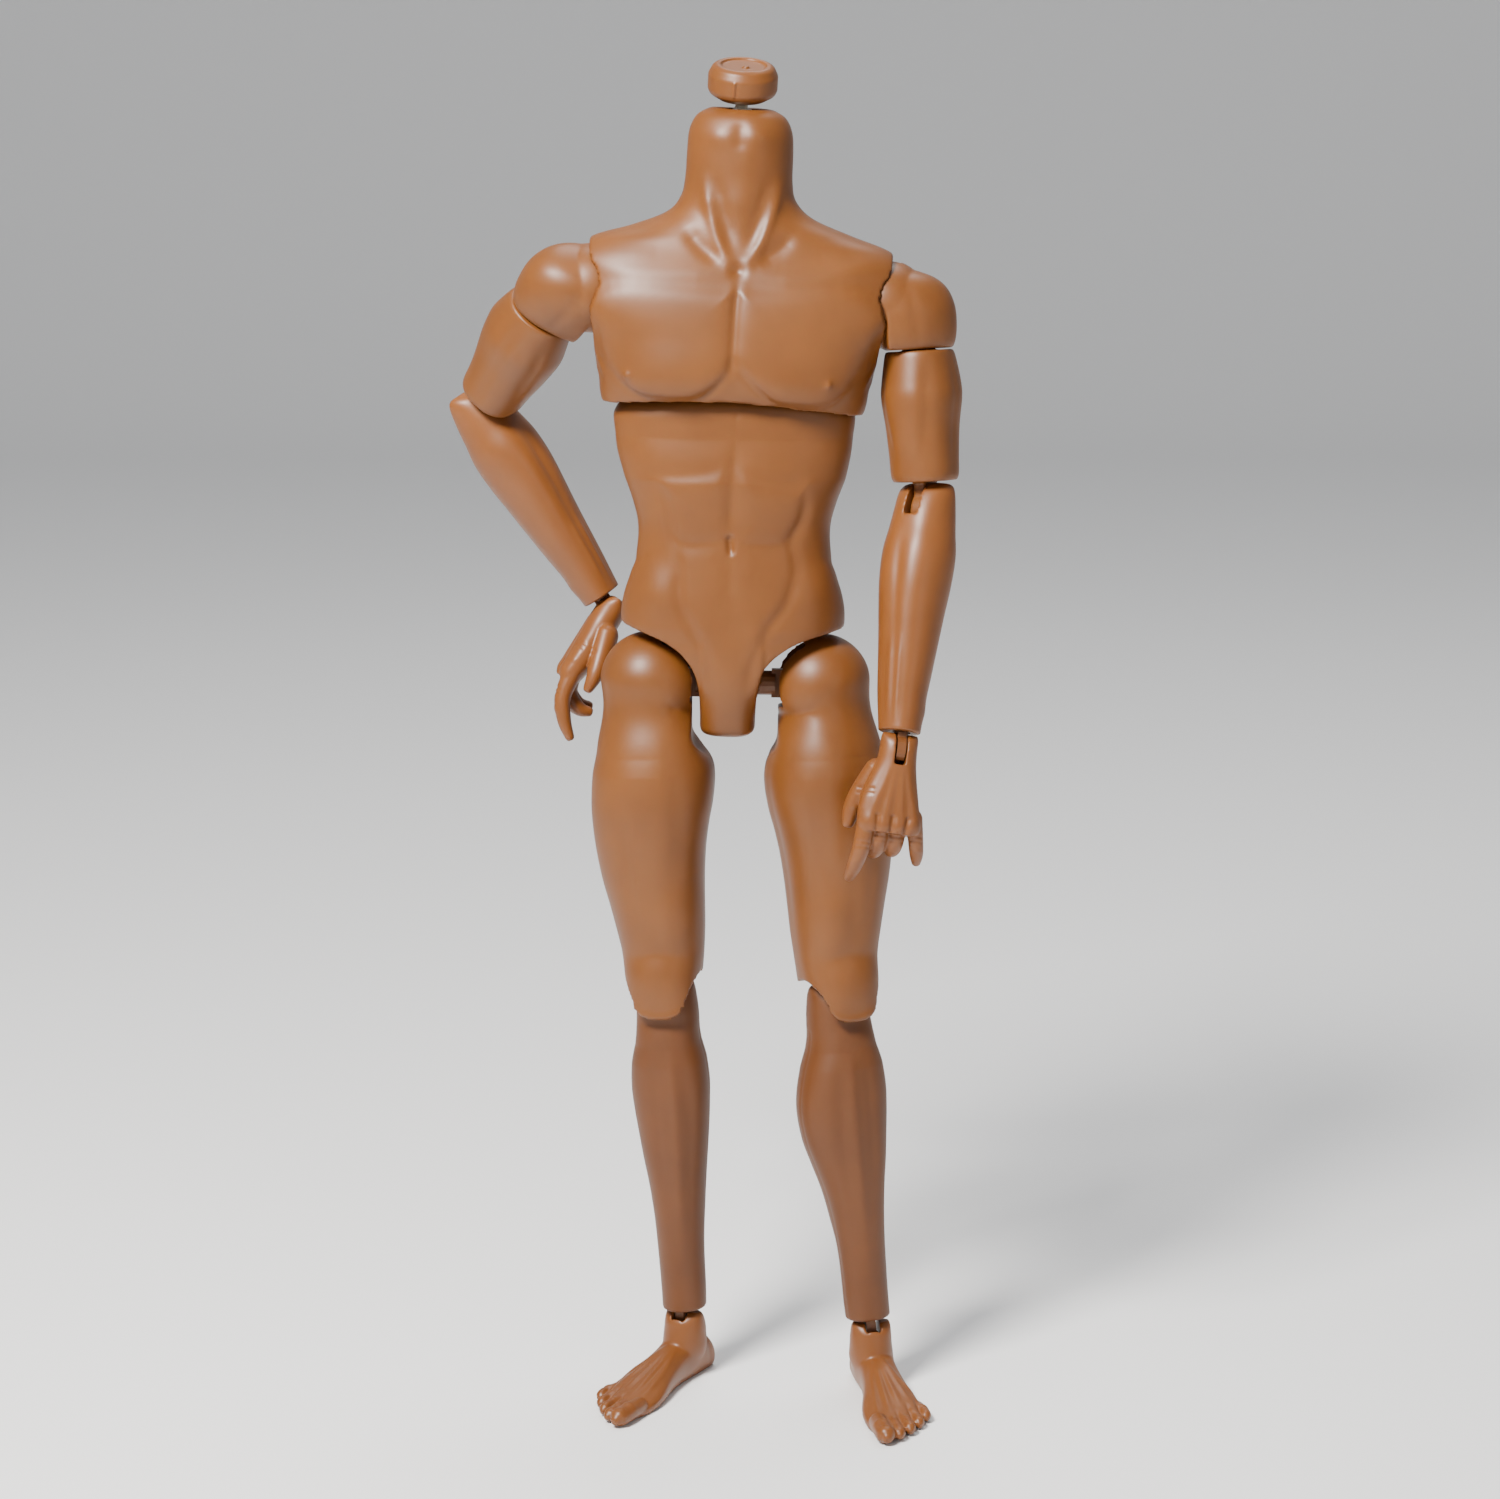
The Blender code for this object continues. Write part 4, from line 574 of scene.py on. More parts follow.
def tag(side):
    return "left" if side > 0 else "right"


def relative(of, to):
    """Matrix that takes points of frame `of` into frame `to`."""
    return FRAMES[to].inverted() @ FRAMES[of]


# ---------------------------------------------------------------- materials
def plastic(name, colour, rough, grain=0.03, mottle=0.10, subsurface=0.08, coat=0.0):
    """Moulded plastic: slightly uneven colour, uneven gloss and a very fine skin texture."""
    mat = bpy.data.materials.new(name)
    mat.use_nodes = True
    tree = mat.node_tree
    shader = tree.nodes["Principled BSDF"]

    def node(kind, **inputs):
        made = tree.nodes.new(kind)
        for key, value in inputs.items():
            made.inputs[key.replace("_", " ")].default_value = value
        return made

    place = node("ShaderNodeTexCoord")
    large = node("ShaderNodeTexNoise", Scale=55.0, Detail=3.0, Roughness=0.55)
    small = node("ShaderNodeTexNoise", Scale=900.0, Detail=2.0, Roughness=0.6)
    fine = node("ShaderNodeTexNoise", Scale=4200.0, Detail=2.0, Roughness=0.5)
    for texture in (large, small, fine):
        tree.links.new(place.outputs["Object"], texture.inputs["Vector"])
    ramp = tree.nodes.new("ShaderNodeValToRGB")
    ramp.color_ramp.elements[0].position = 0.32
    ramp.color_ramp.elements[1].position = 0.68
    dark = tuple(c * (1 - mottle) for c in colour)
    light = tuple(min(1.0, c * (1 + mottle)) for c in colour)
    ramp.color_ramp.elements[0].color = (dark[0], dark[1] * 0.98, dark[2] * 0.94, 1)
    ramp.color_ramp.elements[1].color = (light[0], light[1], light[2], 1)
    tree.links.new(large.outputs["Fac"], ramp.inputs["Fac"])
    speck = tree.nodes.new("ShaderNodeMix")
    speck.data_type = "RGBA"
    speck.blend_type = "MULTIPLY"
    speck.inputs["Factor"].default_value = 0.10
    tree.links.new(ramp.outputs["Color"], speck.inputs[6])
    tree.links.new(small.outputs["Color"], speck.inputs[7])
    tree.links.new(speck.outputs[2], shader.inputs["Base Color"])
    gloss = tree.nodes.new("ShaderNodeMapRange")
    gloss.inputs["To Min"].default_value = rough - 0.05
    gloss.inputs["To Max"].default_value = rough + 0.07
    tree.links.new(large.outputs["Fac"], gloss.inputs["Value"])
    tree.links.new(gloss.outputs["Result"], shader.inputs["Roughness"])
    bump = tree.nodes.new("ShaderNodeBump")
    bump.inputs["Strength"].default_value = grain
    bump.inputs["Distance"].default_value = 0.0002
    tree.links.new(fine.outputs["Fac"], bump.inputs["Height"])
    tree.links.new(bump.outputs["Normal"], shader.inputs["Normal"])
    shader.inputs["Specular IOR Level"].default_value = 0.36
    shader.inputs["Subsurface Weight"].default_value = subsurface
    shader.inputs["Subsurface Radius"].default_value = (0.004, 0.0016, 0.0008)
    shader.inputs["Subsurface Scale"].default_value = 0.3
    shader.inputs["Specular IOR Level"].default_value = 0.42
    shader.inputs["Coat Weight"].default_value = coat
    shader.inputs["Coat Roughness"].default_value = 0.3
    return mat


def metal(name, colour, rough):
    mat = plastic(name, colour, rough, grain=0.05, mottle=0.06, subsurface=0.0)
    mat.node_tree.nodes["Principled BSDF"].inputs["Metallic"].default_value = 1.0
    return mat


SKIN = plastic("body_plastic", (0.158, 0.0515, 0.0088), 0.43)
LIMB = plastic("limb_plastic", (0.180, 0.058, 0.0115), 0.40, coat=0.05)
# Shins: a darker copy of the body plastic. This is painted shade for the light falling off down the lower
# legs.
SHIN_PAINTED_SHADE = plastic("lower_leg_plastic_painted_shade", (0.112, 0.0345, 0.0060), 0.50)
INNER = plastic("joint_plastic", (0.140, 0.046, 0.0100), 0.45)
CREAM = plastic("peg_plastic", (0.78, 0.68, 0.52), 0.42)
STEEL = metal("pin_metal", (0.24, 0.18, 0.14), 0.4)


# ---------------------------------------------------------------- head knob and neck peg
def head_and_neck():
    profile = [(-4.0, 0), (-4.0, 4.9), (-3.8, 5.2), (-2.9, 6.65), (-2.6, 6.9), (-1.9, 7.22), (-1.6, 7.25),
               (1.0, 7.25), (1.4, 7.15), (2.6, 6.55), (2.9, 6.3), (3.25, 5.7), (3.3, 5.5), (3.3, 4.9),
               (3.22, 4.72), (2.85, 4.6), (2.8, 4.4), (2.8, 0)]
    pin = turned([(2.5, 0), (2.5, 0.75), (3.15, 0.7), (3.3, 0.45), (3.35, 0)])
    pin = (pin[0] + (0.5, -1.2, 0), pin[1])
    knob = fuse("neck_knob", turned(profile, segments=128), adds=[pin],
                cuts=[box(-1.7, 1.7, -3.4, 3.4, -8, 1.9)], voxel=0.2, smooth=2)
    clay = Clay(knob)
    clay.line([(-1.7, -1.7), (-1.65, 0.9)], 0.22, 0.3, taper=0)
    clay.line([(-1.2, -1.5), (-1.15, 0.6)], -0.18, 0.28, taper=0)
    clay.bump((1.5, 3.0), (1.3, 0.5), -0.08)
    clay.done()
    finish_piece(knob, "head", "head", ["head_knob"], SKIN)

    peg = turned([(-7.0, 0), (-7.0, 3.6), (-5.6, 3.6), (-5.6, 2.2), (7.9, 2.2), (8.3, 2.1), (8.5, 1.8),
                  (8.5, 0)])
    fork = plate([(u, -w) for u, w in tongue_outline(1.8, 6.4)][::-1], 1.3, "X")
    turn = relative("head", "neck") @ Matrix.Rotation(math.radians(-HEAD_TILT), 4, "X")
    flash = ball(0.75)
    flash = (flash[0] * (1.0, 0.8, 0.7) + (0.2, -2.0, 8.2), flash[1])
    post = fuse("neck_peg", peg, adds=[moved(fork, turn), flash],
                cuts=[moved(cylinder(0.9, -6, 6, "X"), relative("head", "neck"))], voxel=0.2, smooth=2)
    finish_piece(post, "neck", "neck", ["neck_post"], CREAM)


# ---------------------------------------------------------------- chest
def rim_arch(x, y, z):
    """The lower edge lifts by 2.4 mm in the middle of the front and of the back."""
    fade = max(0.0, 1 - abs(z - 4.6) / 9.0)
    return 2.4 * fade * max(0.0, 1 - (x / 27.3) ** 2) * min(1.0, abs(y) / 9.0)


def socket_profile():
    cup = [(SOCKET * math.sin(a), SOCKET * math.cos(a))
           for a in (math.radians(d) for d in range(-66, 1, 4))]
    return ([(-15.0, 0), (-15.0, 6.4), (-11.6, 6.4), (-11.6, 3.7)] + cup
            + [(8.0, SOCKET), (8.0, 0)])


def chest():
    cuts = [stack(CAVITY_ROWS),
            moved(turned([(-7.4, 0), (-7.4, 4.0), (-5.2, 4.0), (-5.2, 2.5), (6.0, 2.5), (6.6, 5.0),
                          (7.4, 5.2), (12, 5.4), (12, 0)]), relative("neck", "chest")),
            turned([(5, 0), (5, 3.3), (17.7, 3.3), (17.7, 4.9), (20.3, 4.9), (20.3, 0)])]
    for s in (-1, 1):
        swing = relative(("swing", s), "chest")
        cuts.append(moved(box(*sorted((0, s * 30)), -30, 30, -22, 24), swing))
        cuts.append(moved(turned(socket_profile(), "X", flip=s < 0), swing))
    ob = fuse("chest_shell", stack(CHEST_ROWS, ring=200, arch=rim_arch), cuts=cuts, voxel=0.46, smooth=3)
    c = Clay(ob)
    # neck
    for ridge, amount in (([(-8.5, 51.9), (-6.9, 45.9), (-4.5, 39), (-1.9, 34.7)], 0.55),
                          ([(7.2, 51.7), (6, 46.1), (3.8, 39.5), (0.9, 35.1)], 0.6)):
        c.line(ridge, amount, 1.3)
    for groove in ([(-6.2, 53), (-4.0, 45.5), (-2.0, 38.5)], [(5.0, 53), (3.2, 45.5), (1.4, 38.5)]):
        c.line(groove, -0.35, 1.6)
    c.bump((-0.5, 46.5), (2.6, 5.0), 0.22)
    c.line([(-11.9, 42), (-8.6, 38.8), (-4.3, 35.6)], -0.55, 1.6)
    c.line([(10.6, 42), (7.6, 38.8), (3.6, 35.8)], -0.55, 1.6)
    c.bump((-0.6, 34.2), (1.6, 1.5), -0.75)
    c.bump((-5.7, 60.8), (2.6, 2.2), 0.35)
    c.bump((2.5, 61.2), (2.6, 2.2), 0.35)
    c.line([(-1.6, 64.5), (-1.5, 58.0)], -0.35, 1.5)
    # collar bones
    c.line([(-1.7, 32.0), (-8.2, 32.6), (-16.4, 32.3), (-24.2, 32.3), (-30, 33.4)], 0.34, 2.1)
    c.line([(2.6, 33.0), (9.3, 32.5), (17, 33.2), (23.6, 35.0), (29.3, 36.6)], 0.38, 2.1)
    c.line([(-4, 36.2), (-12, 37.0), (-22, 36.8)], -0.22, 2.6)
    c.line([(4, 36.4), (12, 37.0), (21, 38.4)], -0.25, 2.6)
    # breast muscles
    c.pad([(-1.4, 29.5), (-1.5, 22), (-1.5, 15.6), (-2.6, 12.1), (-6.9, 8.4), (-13.5, 6.9), (-20.3, 8.4),
           (-25, 12.6), (-28, 19), (-30.5, 26), (-24, 29.8), (-12, 30.0)], 1.35, 2.4)
    c.pad([(0.4, 29.5), (0.3, 22), (0.3, 15.6), (2.9, 12.0), (8.1, 8.2), (15, 6.1), (20.1, 7.6),
           (25, 13.2), (27.8, 18.6), (30.5, 26), (24, 31.0), (12, 30.2)], 1.35, 2.4)
    for low in ([(-0.8, 15.1), (-2.4, 11.8), (-6.9, 7.8), (-13.5, 6.2), (-20.3, 7.8), (-25, 12)],
                [(-0.4, 15.6), (3.3, 11.6), (8.1, 7.6), (15, 5.5), (20.1, 7), (25, 12.7)]):
        c.line(low, -0.6, 1.0)
    for x, z in ((-14, 12.5), (14.5, 12.0)):
        c.bump((x, z), (9.5, 6.5), 0.9)
    c.line([(-0.4, 31.8), (-0.6, 24.7), (-0.7, 13.0)], -0.45, 0.95, taper=0.15)
    for x, z in ((-21.4, 11.5), (18.7, 12.0)):
        c.bump((x, z), (1.5, 1.4), 0.16)
        c.bump((x, z), (0.62, 0.62), 0.5)
    # sides: front border of the broad back muscle, and the ribs under the armpit
    c.line([(-29.3, 24), (-28.6, 17), (-27.4, 9)], -0.3, 1.5)
    c.line([(29.3, 24), (28.6, 17), (27.4, 9)], -0.3, 1.5)
    for y in (-6.0, -1.0, 4.0):
        for view in ("left", "right"):
            c.line([(y - 1.5, 10.5), (y + 2.5, 14.5)], 0.25, 1.1, view=view)
    for view in ("left", "right"):
        c.line([(0.0, 4.0), (0.0, 70.0)], -0.14, 0.32, view=view, taper=0)
    # back
    c.line([(0, 4), (0, 20), (0, 36), (-0.6, 50), (-1.2, 62)], -0.8, 2.0, view="back", taper=0.1)
    for s in (-1, 1):
        c.pad([(s * 7, 31), (s * 8.5, 22), (s * 12, 13.5), (s * 20, 17), (s * 25.5, 27), (s * 24, 33),
               (s * 14, 34.5)], 0.7, 2.4, view="back")
        c.line([(s * 6.8, 32), (s * 8.0, 22), (s * 11.5, 13)], -0.35, 1.4, view="back")
        c.line([(s * 7.5, 32.5), (s * 16, 31.0), (s * 27, 34.5)], 0.4, 1.3, view="back")
        c.line([(s * 3.6, 5), (s * 4.0, 20), (s * 3.6, 32)], 0.45, 2.0, view="back")
        c.bump((s * 10, 40.0), (6, 4), 0.35, view="back")
        c.line([(s * 12, 7), (s * 22, 12), (s * 28, 19)], -0.25, 1.5, view="back")
    c.d *= np.clip((c.v[:, 2] - 5.0) / 3.5, 0, 1)                   # the lower rim stays even
    c.done()
    finish_piece(ob, "chest", "chest", ["chest_front", "chest_back"], SKIN)


# ---------------------------------------------------------------- abdomen and pelvis
def abdomen():
    cuts = [moved(cylinder(4.7, -5.8, 5.8, "Y"), relative("chest", "pelvis")),
            moved(turned([(1, 0), (1, 4.4), (16, 5.6), (16, 0)]), relative("chest", "pelvis"))]
    for s in (-1, 1):
        hip = relative(("hip", s), "pelvis")
        cuts.append(moved(ball(HIP_SOCKET), hip))
        cuts.append(plate(rounded(HIP_OPENING[s]), 30))
        bore = [(-17.1, 0), (-17.1, 2.9), (-16.1, 2.9), (-16.1, 3.9), (-13.9, 3.9), (-13.9, 2.9),
                (-9.0, 2.9), (-9.0, 0)]
        cuts.append(moved(turned(bore, "X", flip=s < 0), hip))
    ob = fuse("abdomen_shell", stack(ABDOMEN_ROWS, ring=200), cuts=cuts, voxel=0.46, smooth=3)
    c = Clay(ob)
    # belly
    c.line([(0.3, 55), (-0.3, 42), (-0.9, 28.2)], -0.42, 1.4, taper=0.12)
    c.line([(-0.8, 22), (-0.7, 14)], -0.12, 1.2)
    blocks = [[(-17.5, 52), (-17.4, 42.2), (-11.4, 41.2), (-2.2, 43.0), (-2.0, 53)],
              [(17.0, 52), (16.6, 42.2), (12.0, 40.2), (2.2, 42.0), (2.4, 53)],
              [(-16.4, 38.4), (-14, 33.6), (-13.0, 28.2), (-9.2, 26.2), (-2.0, 27.2), (-1.8, 40.0),
               (-6, 39.4), (-11.4, 38.4)],
              [(15.0, 38.0), (14.2, 31.3), (12.6, 28.0), (9.6, 26.3), (5.4, 26.2), (1.2, 27.0), (1.2, 39.6),
               (6.8, 37.6), (12.5, 37.0)],
              [(-12.4, 24.6), (-9.2, 23.4), (-3.0, 24.0), (-2.0, 12), (-5.5, 3), (-8.4, 7.1),
               (-11.1, 13.4), (-11.6, 20)],
              [(12.6, 25.0), (9.6, 23.6), (1.6, 24.0), (0.6, 12), (4.4, 3), (7.8, 7.9), (11.4, 13.6),
               (13.0, 20)]]
    for outline, amount in zip(blocks, (0.7, 0.7, 0.95, 0.95, 0.6, 0.6)):
        c.pad(outline, amount * 0.8, 3.0)
    for crease, amount, width in (
            ([(-18.2, 39.7), (-11.4, 39.6), (-5.2, 40.5), (-1.1, 41.9)], -0.24, 1.6),
            ([(1, 40.9), (6.8, 38.6), (12.5, 38.1), (16.1, 39.8)], -0.24, 1.6),
            ([(-12.8, 26.7), (-9.2, 24.9), (-4.5, 25.4), (-0.8, 26.1)], -0.20, 1.6),
            ([(1.3, 25.2), (5.4, 24.9), (9.6, 25.1), (13.2, 28.1)], -0.20, 1.6),
            ([(-17.2, 47.9), (-11.5, 47.7), (-5.3, 48.4)], -0.16, 1.4),
            ([(9.2, 47), (13.4, 46.5), (17.6, 47.2)], -0.16, 1.4),
            ([(-16.6, 38.7), (-14, 33.6), (-12.9, 27.8), (-11.2, 20.6)], -0.45, 1.3),
            ([(14.6, 36.7), (14.2, 31.3), (12.2, 26.1), (12.8, 19.8)], -0.45, 1.3),
            ([(-11.2, 20.6), (-11.1, 12.8), (-8.4, 7.1), (-5.6, 3.4)], -0.5, 1.4),
            ([(13.4, 20.8), (11.4, 13.1), (7.8, 7.9), (4.8, 3.6)], -0.5, 1.4)):
        c.line(crease, amount, width)
    c.line([(-0.9, 26.2), (-0.7, 23.6)], -0.9, 0.75, taper=0)
    c.bump((-0.8, 23.2), (1.4, 0.7), 0.2)
    for x in (-16.0, 16.5):
        c.bump((x, 15.0), (4.2, 5.0), 0.8)
        c.bump((x * 0.95, 30.0), (2.6, 6.5), 0.3)
        c.bump((x * 1.15, 47.0), (3.0, 4.5), 0.3)
    c.bump((-1.0, -3.5), (4.6, 7.5), 0.9)
    c.line([(-8.6, 6), (-5.6, 1.5), (-4.6, -5)], -0.25, 1.2)
    c.line([(7.6, 6), (4.6, 1.2), (3.0, -5)], -0.25, 1.2)
    for view in ("left", "right"):
        c.line([(0.0, -17.0), (0.0, 60.0)], -0.14, 0.32, view=view, taper=0)
        c.line([(-7, 22.5), (-2, 20.5), (4, 19.5), (9, 20.5)], -0.25, 1.4, view=view)
    # back
    c.line([(0, 12), (0, 30), (0, 50)], -0.7, 1.8, view="back", taper=0.15)
    c.line([(0, -16), (-0.2, -6), (0, 6)], -1.5, 1.1, view="back", taper=0.2)
    for s in (-1, 1):
        c.bump((s * 9.0, -1.0), (9.0, 9.5), 1.3, view="back", power=3)
        c.bump((s * 5.0, 11.5), (1.6, 1.6), -0.4, view="back")
        c.line([(s * 4.2, 16), (s * 4.6, 32), (s * 4.2, 50)], 0.5, 2.1, view="back")
        c.line([(s * 4, 10.0), (s * 12, 13.5), (s * 21, 15.0)], -0.3, 1.5, view="back")
    c.hold(np.clip((c.v[:, 2] - 38) / 9, 0, 1), 0.85)
    c.hold(np.clip((7 - c.v[:, 2]) / 3, 0, 1) * np.clip(np.abs(c.v[:, 0]) - 6, 0, 1), 0.3)
    c.done()
    finish_piece(ob, "pelvis", "pelvis", ["abdomen_front", "abdomen_back"], SKIN)


# ---------------------------------------------------------------- arms
def shoulder_cap(s):
    t = tag(s)
    slot = [(-12, -3.4), (3.4, -3.4), (3.4, 12), (-12, 12)]
    cuts = [plate([(u * s, w) for u, w in slot][::s], TONGUE + GAP),
            cylinder(PIN_BORE, -14, 6.4, "Y"),
            moved(turned([(-4, 0), (-4, 3.5), (2.6, 3.5), (2.6, 4.3), (4.8, 4.3), (4.8, 0)]),
                  relative(("upper", s), ("cap", s)))]
    ob = fuse("shoulder_shell_" + t, stack(CAP_ROWS, s, steps=8), adds=[ball(BALL)], cuts=cuts,
              voxel=0.36, smooth=4)
    c = Clay(ob, s)
    for view in ("front", "back"):
        c.bump((7.5, -1.5), (6.0, 6.5), 0.35, view=view, power=3)
        c.line([(4.5, 4.0), (5.5, -3.0), (6.0, -9.0)], -0.18, 1.3, view=view)
    c.done()
    finish_piece(ob, ("cap", s), "cap_" + t, ["shoulder_cap_" + t], SKIN)


def upper_arm(s):
    t = tag(s)
    spigot = turned([(-3, 0), (-3, 3.2), (2.9, 3.2), (2.9, 4.0), (4.5, 4.0), (4.5, 0)])
    tongue = plate([(u, w - UPPER_ARM) for u, w in broad_tongue(ELBOW_R, 4.4, 9.5)], ELBOW_TONGUE, "X")
    eye = moved(cylinder(PIN_BORE, -4, 4, "X"), relative(("elbow", s), ("upper", s)))
    ob = fuse("upper_arm_shell_" + t, stack(UPPER_ARM_ROWS, s), adds=[spigot, tongue], cuts=[eye],
              voxel=0.36, smooth=2)
    c = Clay(ob, s)
    c.bump((0.4, -12.5), (5.6, 8.5), 0.55, power=3)                 # biceps
    c.line([(-4.6, -3), (-5.0, -12), (-3.6, -22)], -0.3, 1.1)
    c.line([(5.4, -3), (5.2, -12), (3.8, -22)], -0.3, 1.1)
    c.bump((-1.6, -10.5), (3.4, 8.0), 0.45, view="back", power=3)
    c.bump((2.6, -9.5), (2.8, 7.0), 0.35, view="back", power=3)
    c.line([(0.6, -4), (0.4, -13), (0.0, -20)], -0.2, 1.0, view="back")
    for view in ("left", "right"):
        c.line([(0.4, -2), (0.6, -14), (0.2, -26)], -0.16, 1.2, view=view)
    c.done()
    finish_piece(ob, ("upper", s), "arm_" + t, ["upper_arm_" + t], SKIN)


def forearm(s):
    t = tag(s)
    cuts = [plate([(-4.7, -4.7), (3.6, -4.7), (3.6, 12), (-12, 12), (-12, -1.7), (-4.7, -1.7)],
                  ELBOW_TONGUE + GAP, "X"),
            cylinder(PIN_BORE, *((-5.5, 12) if s < 0 else (-12, 5.5)), "X"),
            moved(turned([(-3, 0), (-3, 1.8), (4.0, 1.8), (4.0, 2.5), (5.8, 2.5), (5.8, 0)]),
                  relative(("turn", s), ("elbow", s)))]
    ob = fuse("forearm_shell_" + t, stack(FOREARM_ROWS, s), cuts=cuts, voxel=0.34, smooth=2)
    c = Clay(ob, s)
    c.bump((-4.2, -12), (2.8, 9.0), 0.35, power=3)
    c.bump((3.2, -12), (2.6, 8.0), 0.3, power=3)
    c.line([(-0.8, -8), (-0.6, -20), (-0.4, -30)], -0.28, 1.1)
    c.line([(-1.4, -28), (-1.0, -45)], 0.3, 0.7)
    c.line([(0.9, -28), (0.8, -45)], 0.22, 0.6)
    c.line([(0.0, -5), (1.0, -20), (1.8, -44)], -0.22, 1.1, view="back")
    c.line([(2.4, -12), (2.6, -28), (2.6, -42)], 0.28, 1.0, view="back")
    c.bump((2.2, -42.5), (1.6, 2.2), 0.35, view="back")
    c.done()
    finish_piece(ob, ("elbow", s), "forearm_" + t, ["forearm_" + t], LIMB)


# how much further down and forward than the CAD finger each fingertip goes, mm
FINGER_REACH = {"index": (1.3, 0.4), "middle": (2.8, 0.9), "ring": (2.4, 0.8), "little": (0.8, 0.2),
                "thumb": (0.3, 0.0)}


def hand(s):
    t = tag(s)
    fingers = []
    for name, rows in FINGERS.items():
        long, back = FINGER_REACH[name]
        fingers.append(tube([(x * s, y - back * k / 3, z - long * k / 3, a * 1.16, b * 1.14)
                             for k, (x, y, z, a, b) in enumerate(rows)]))
    cuts = [box(-SMALL_TONGUE - GAP, SMALL_TONGUE + GAP, -9, SMALL_R + 1.13, -3.3, 9),
            cylinder(0.9, -3.1, 3.1, "X")]
    ob = fuse("hand_shell_" + t, stack(PALM_ROWS, s), adds=fingers, cuts=cuts, voxel=0.24, smooth=3)
    c = Clay(ob, s)
    knuckles = {"index": (-4.7, -15.6), "middle": (-1.5, -16.4), "ring": (1.8, -16.2), "little": (4.9, -14.9)}
    for x, z in knuckles.values():
        c.bump((x, z), (1.3, 1.5), 0.24)
        c.line([(x, z + 1), (x * 0.62, -8.5), (x * 0.35, -3.0)], 0.15, 0.7)
    for x in (-3.1, 0.15, 3.4):
        c.line([(x, -14.4), (x * 0.9, -17.4)], -0.5, 0.55, taper=0)
        c.line([(x * 0.8, -9.5), (x * 0.95, -14.6)], -0.12, 0.9)
    c.bump((-4.2, -7.5), (2.0, 3.4), 0.3, view="back")
    c.bump((3.4, -8.0), (1.6, 4.0), 0.3, view="back")
    for name, rows in FINGERS.items():
        x, y, z = rows[-2][:3]
        c.bump((x, z), (1.0, 0.5), 0.12)
        mid = rows[1]
        c.line([(mid[0] - 1.2, mid[2] + 0.3), (mid[0] + 1.2, mid[2] + 0.3)], -0.14, 0.35, taper=0)
        c.line([(mid[0] - 1.2, mid[2] - 0.7), (mid[0] + 1.2, mid[2] - 0.7)], -0.12, 0.35, taper=0)
    c.done()
    finish_piece(ob, ("wrist", s), "hand_" + t, ["hand_" + t], LIMB)


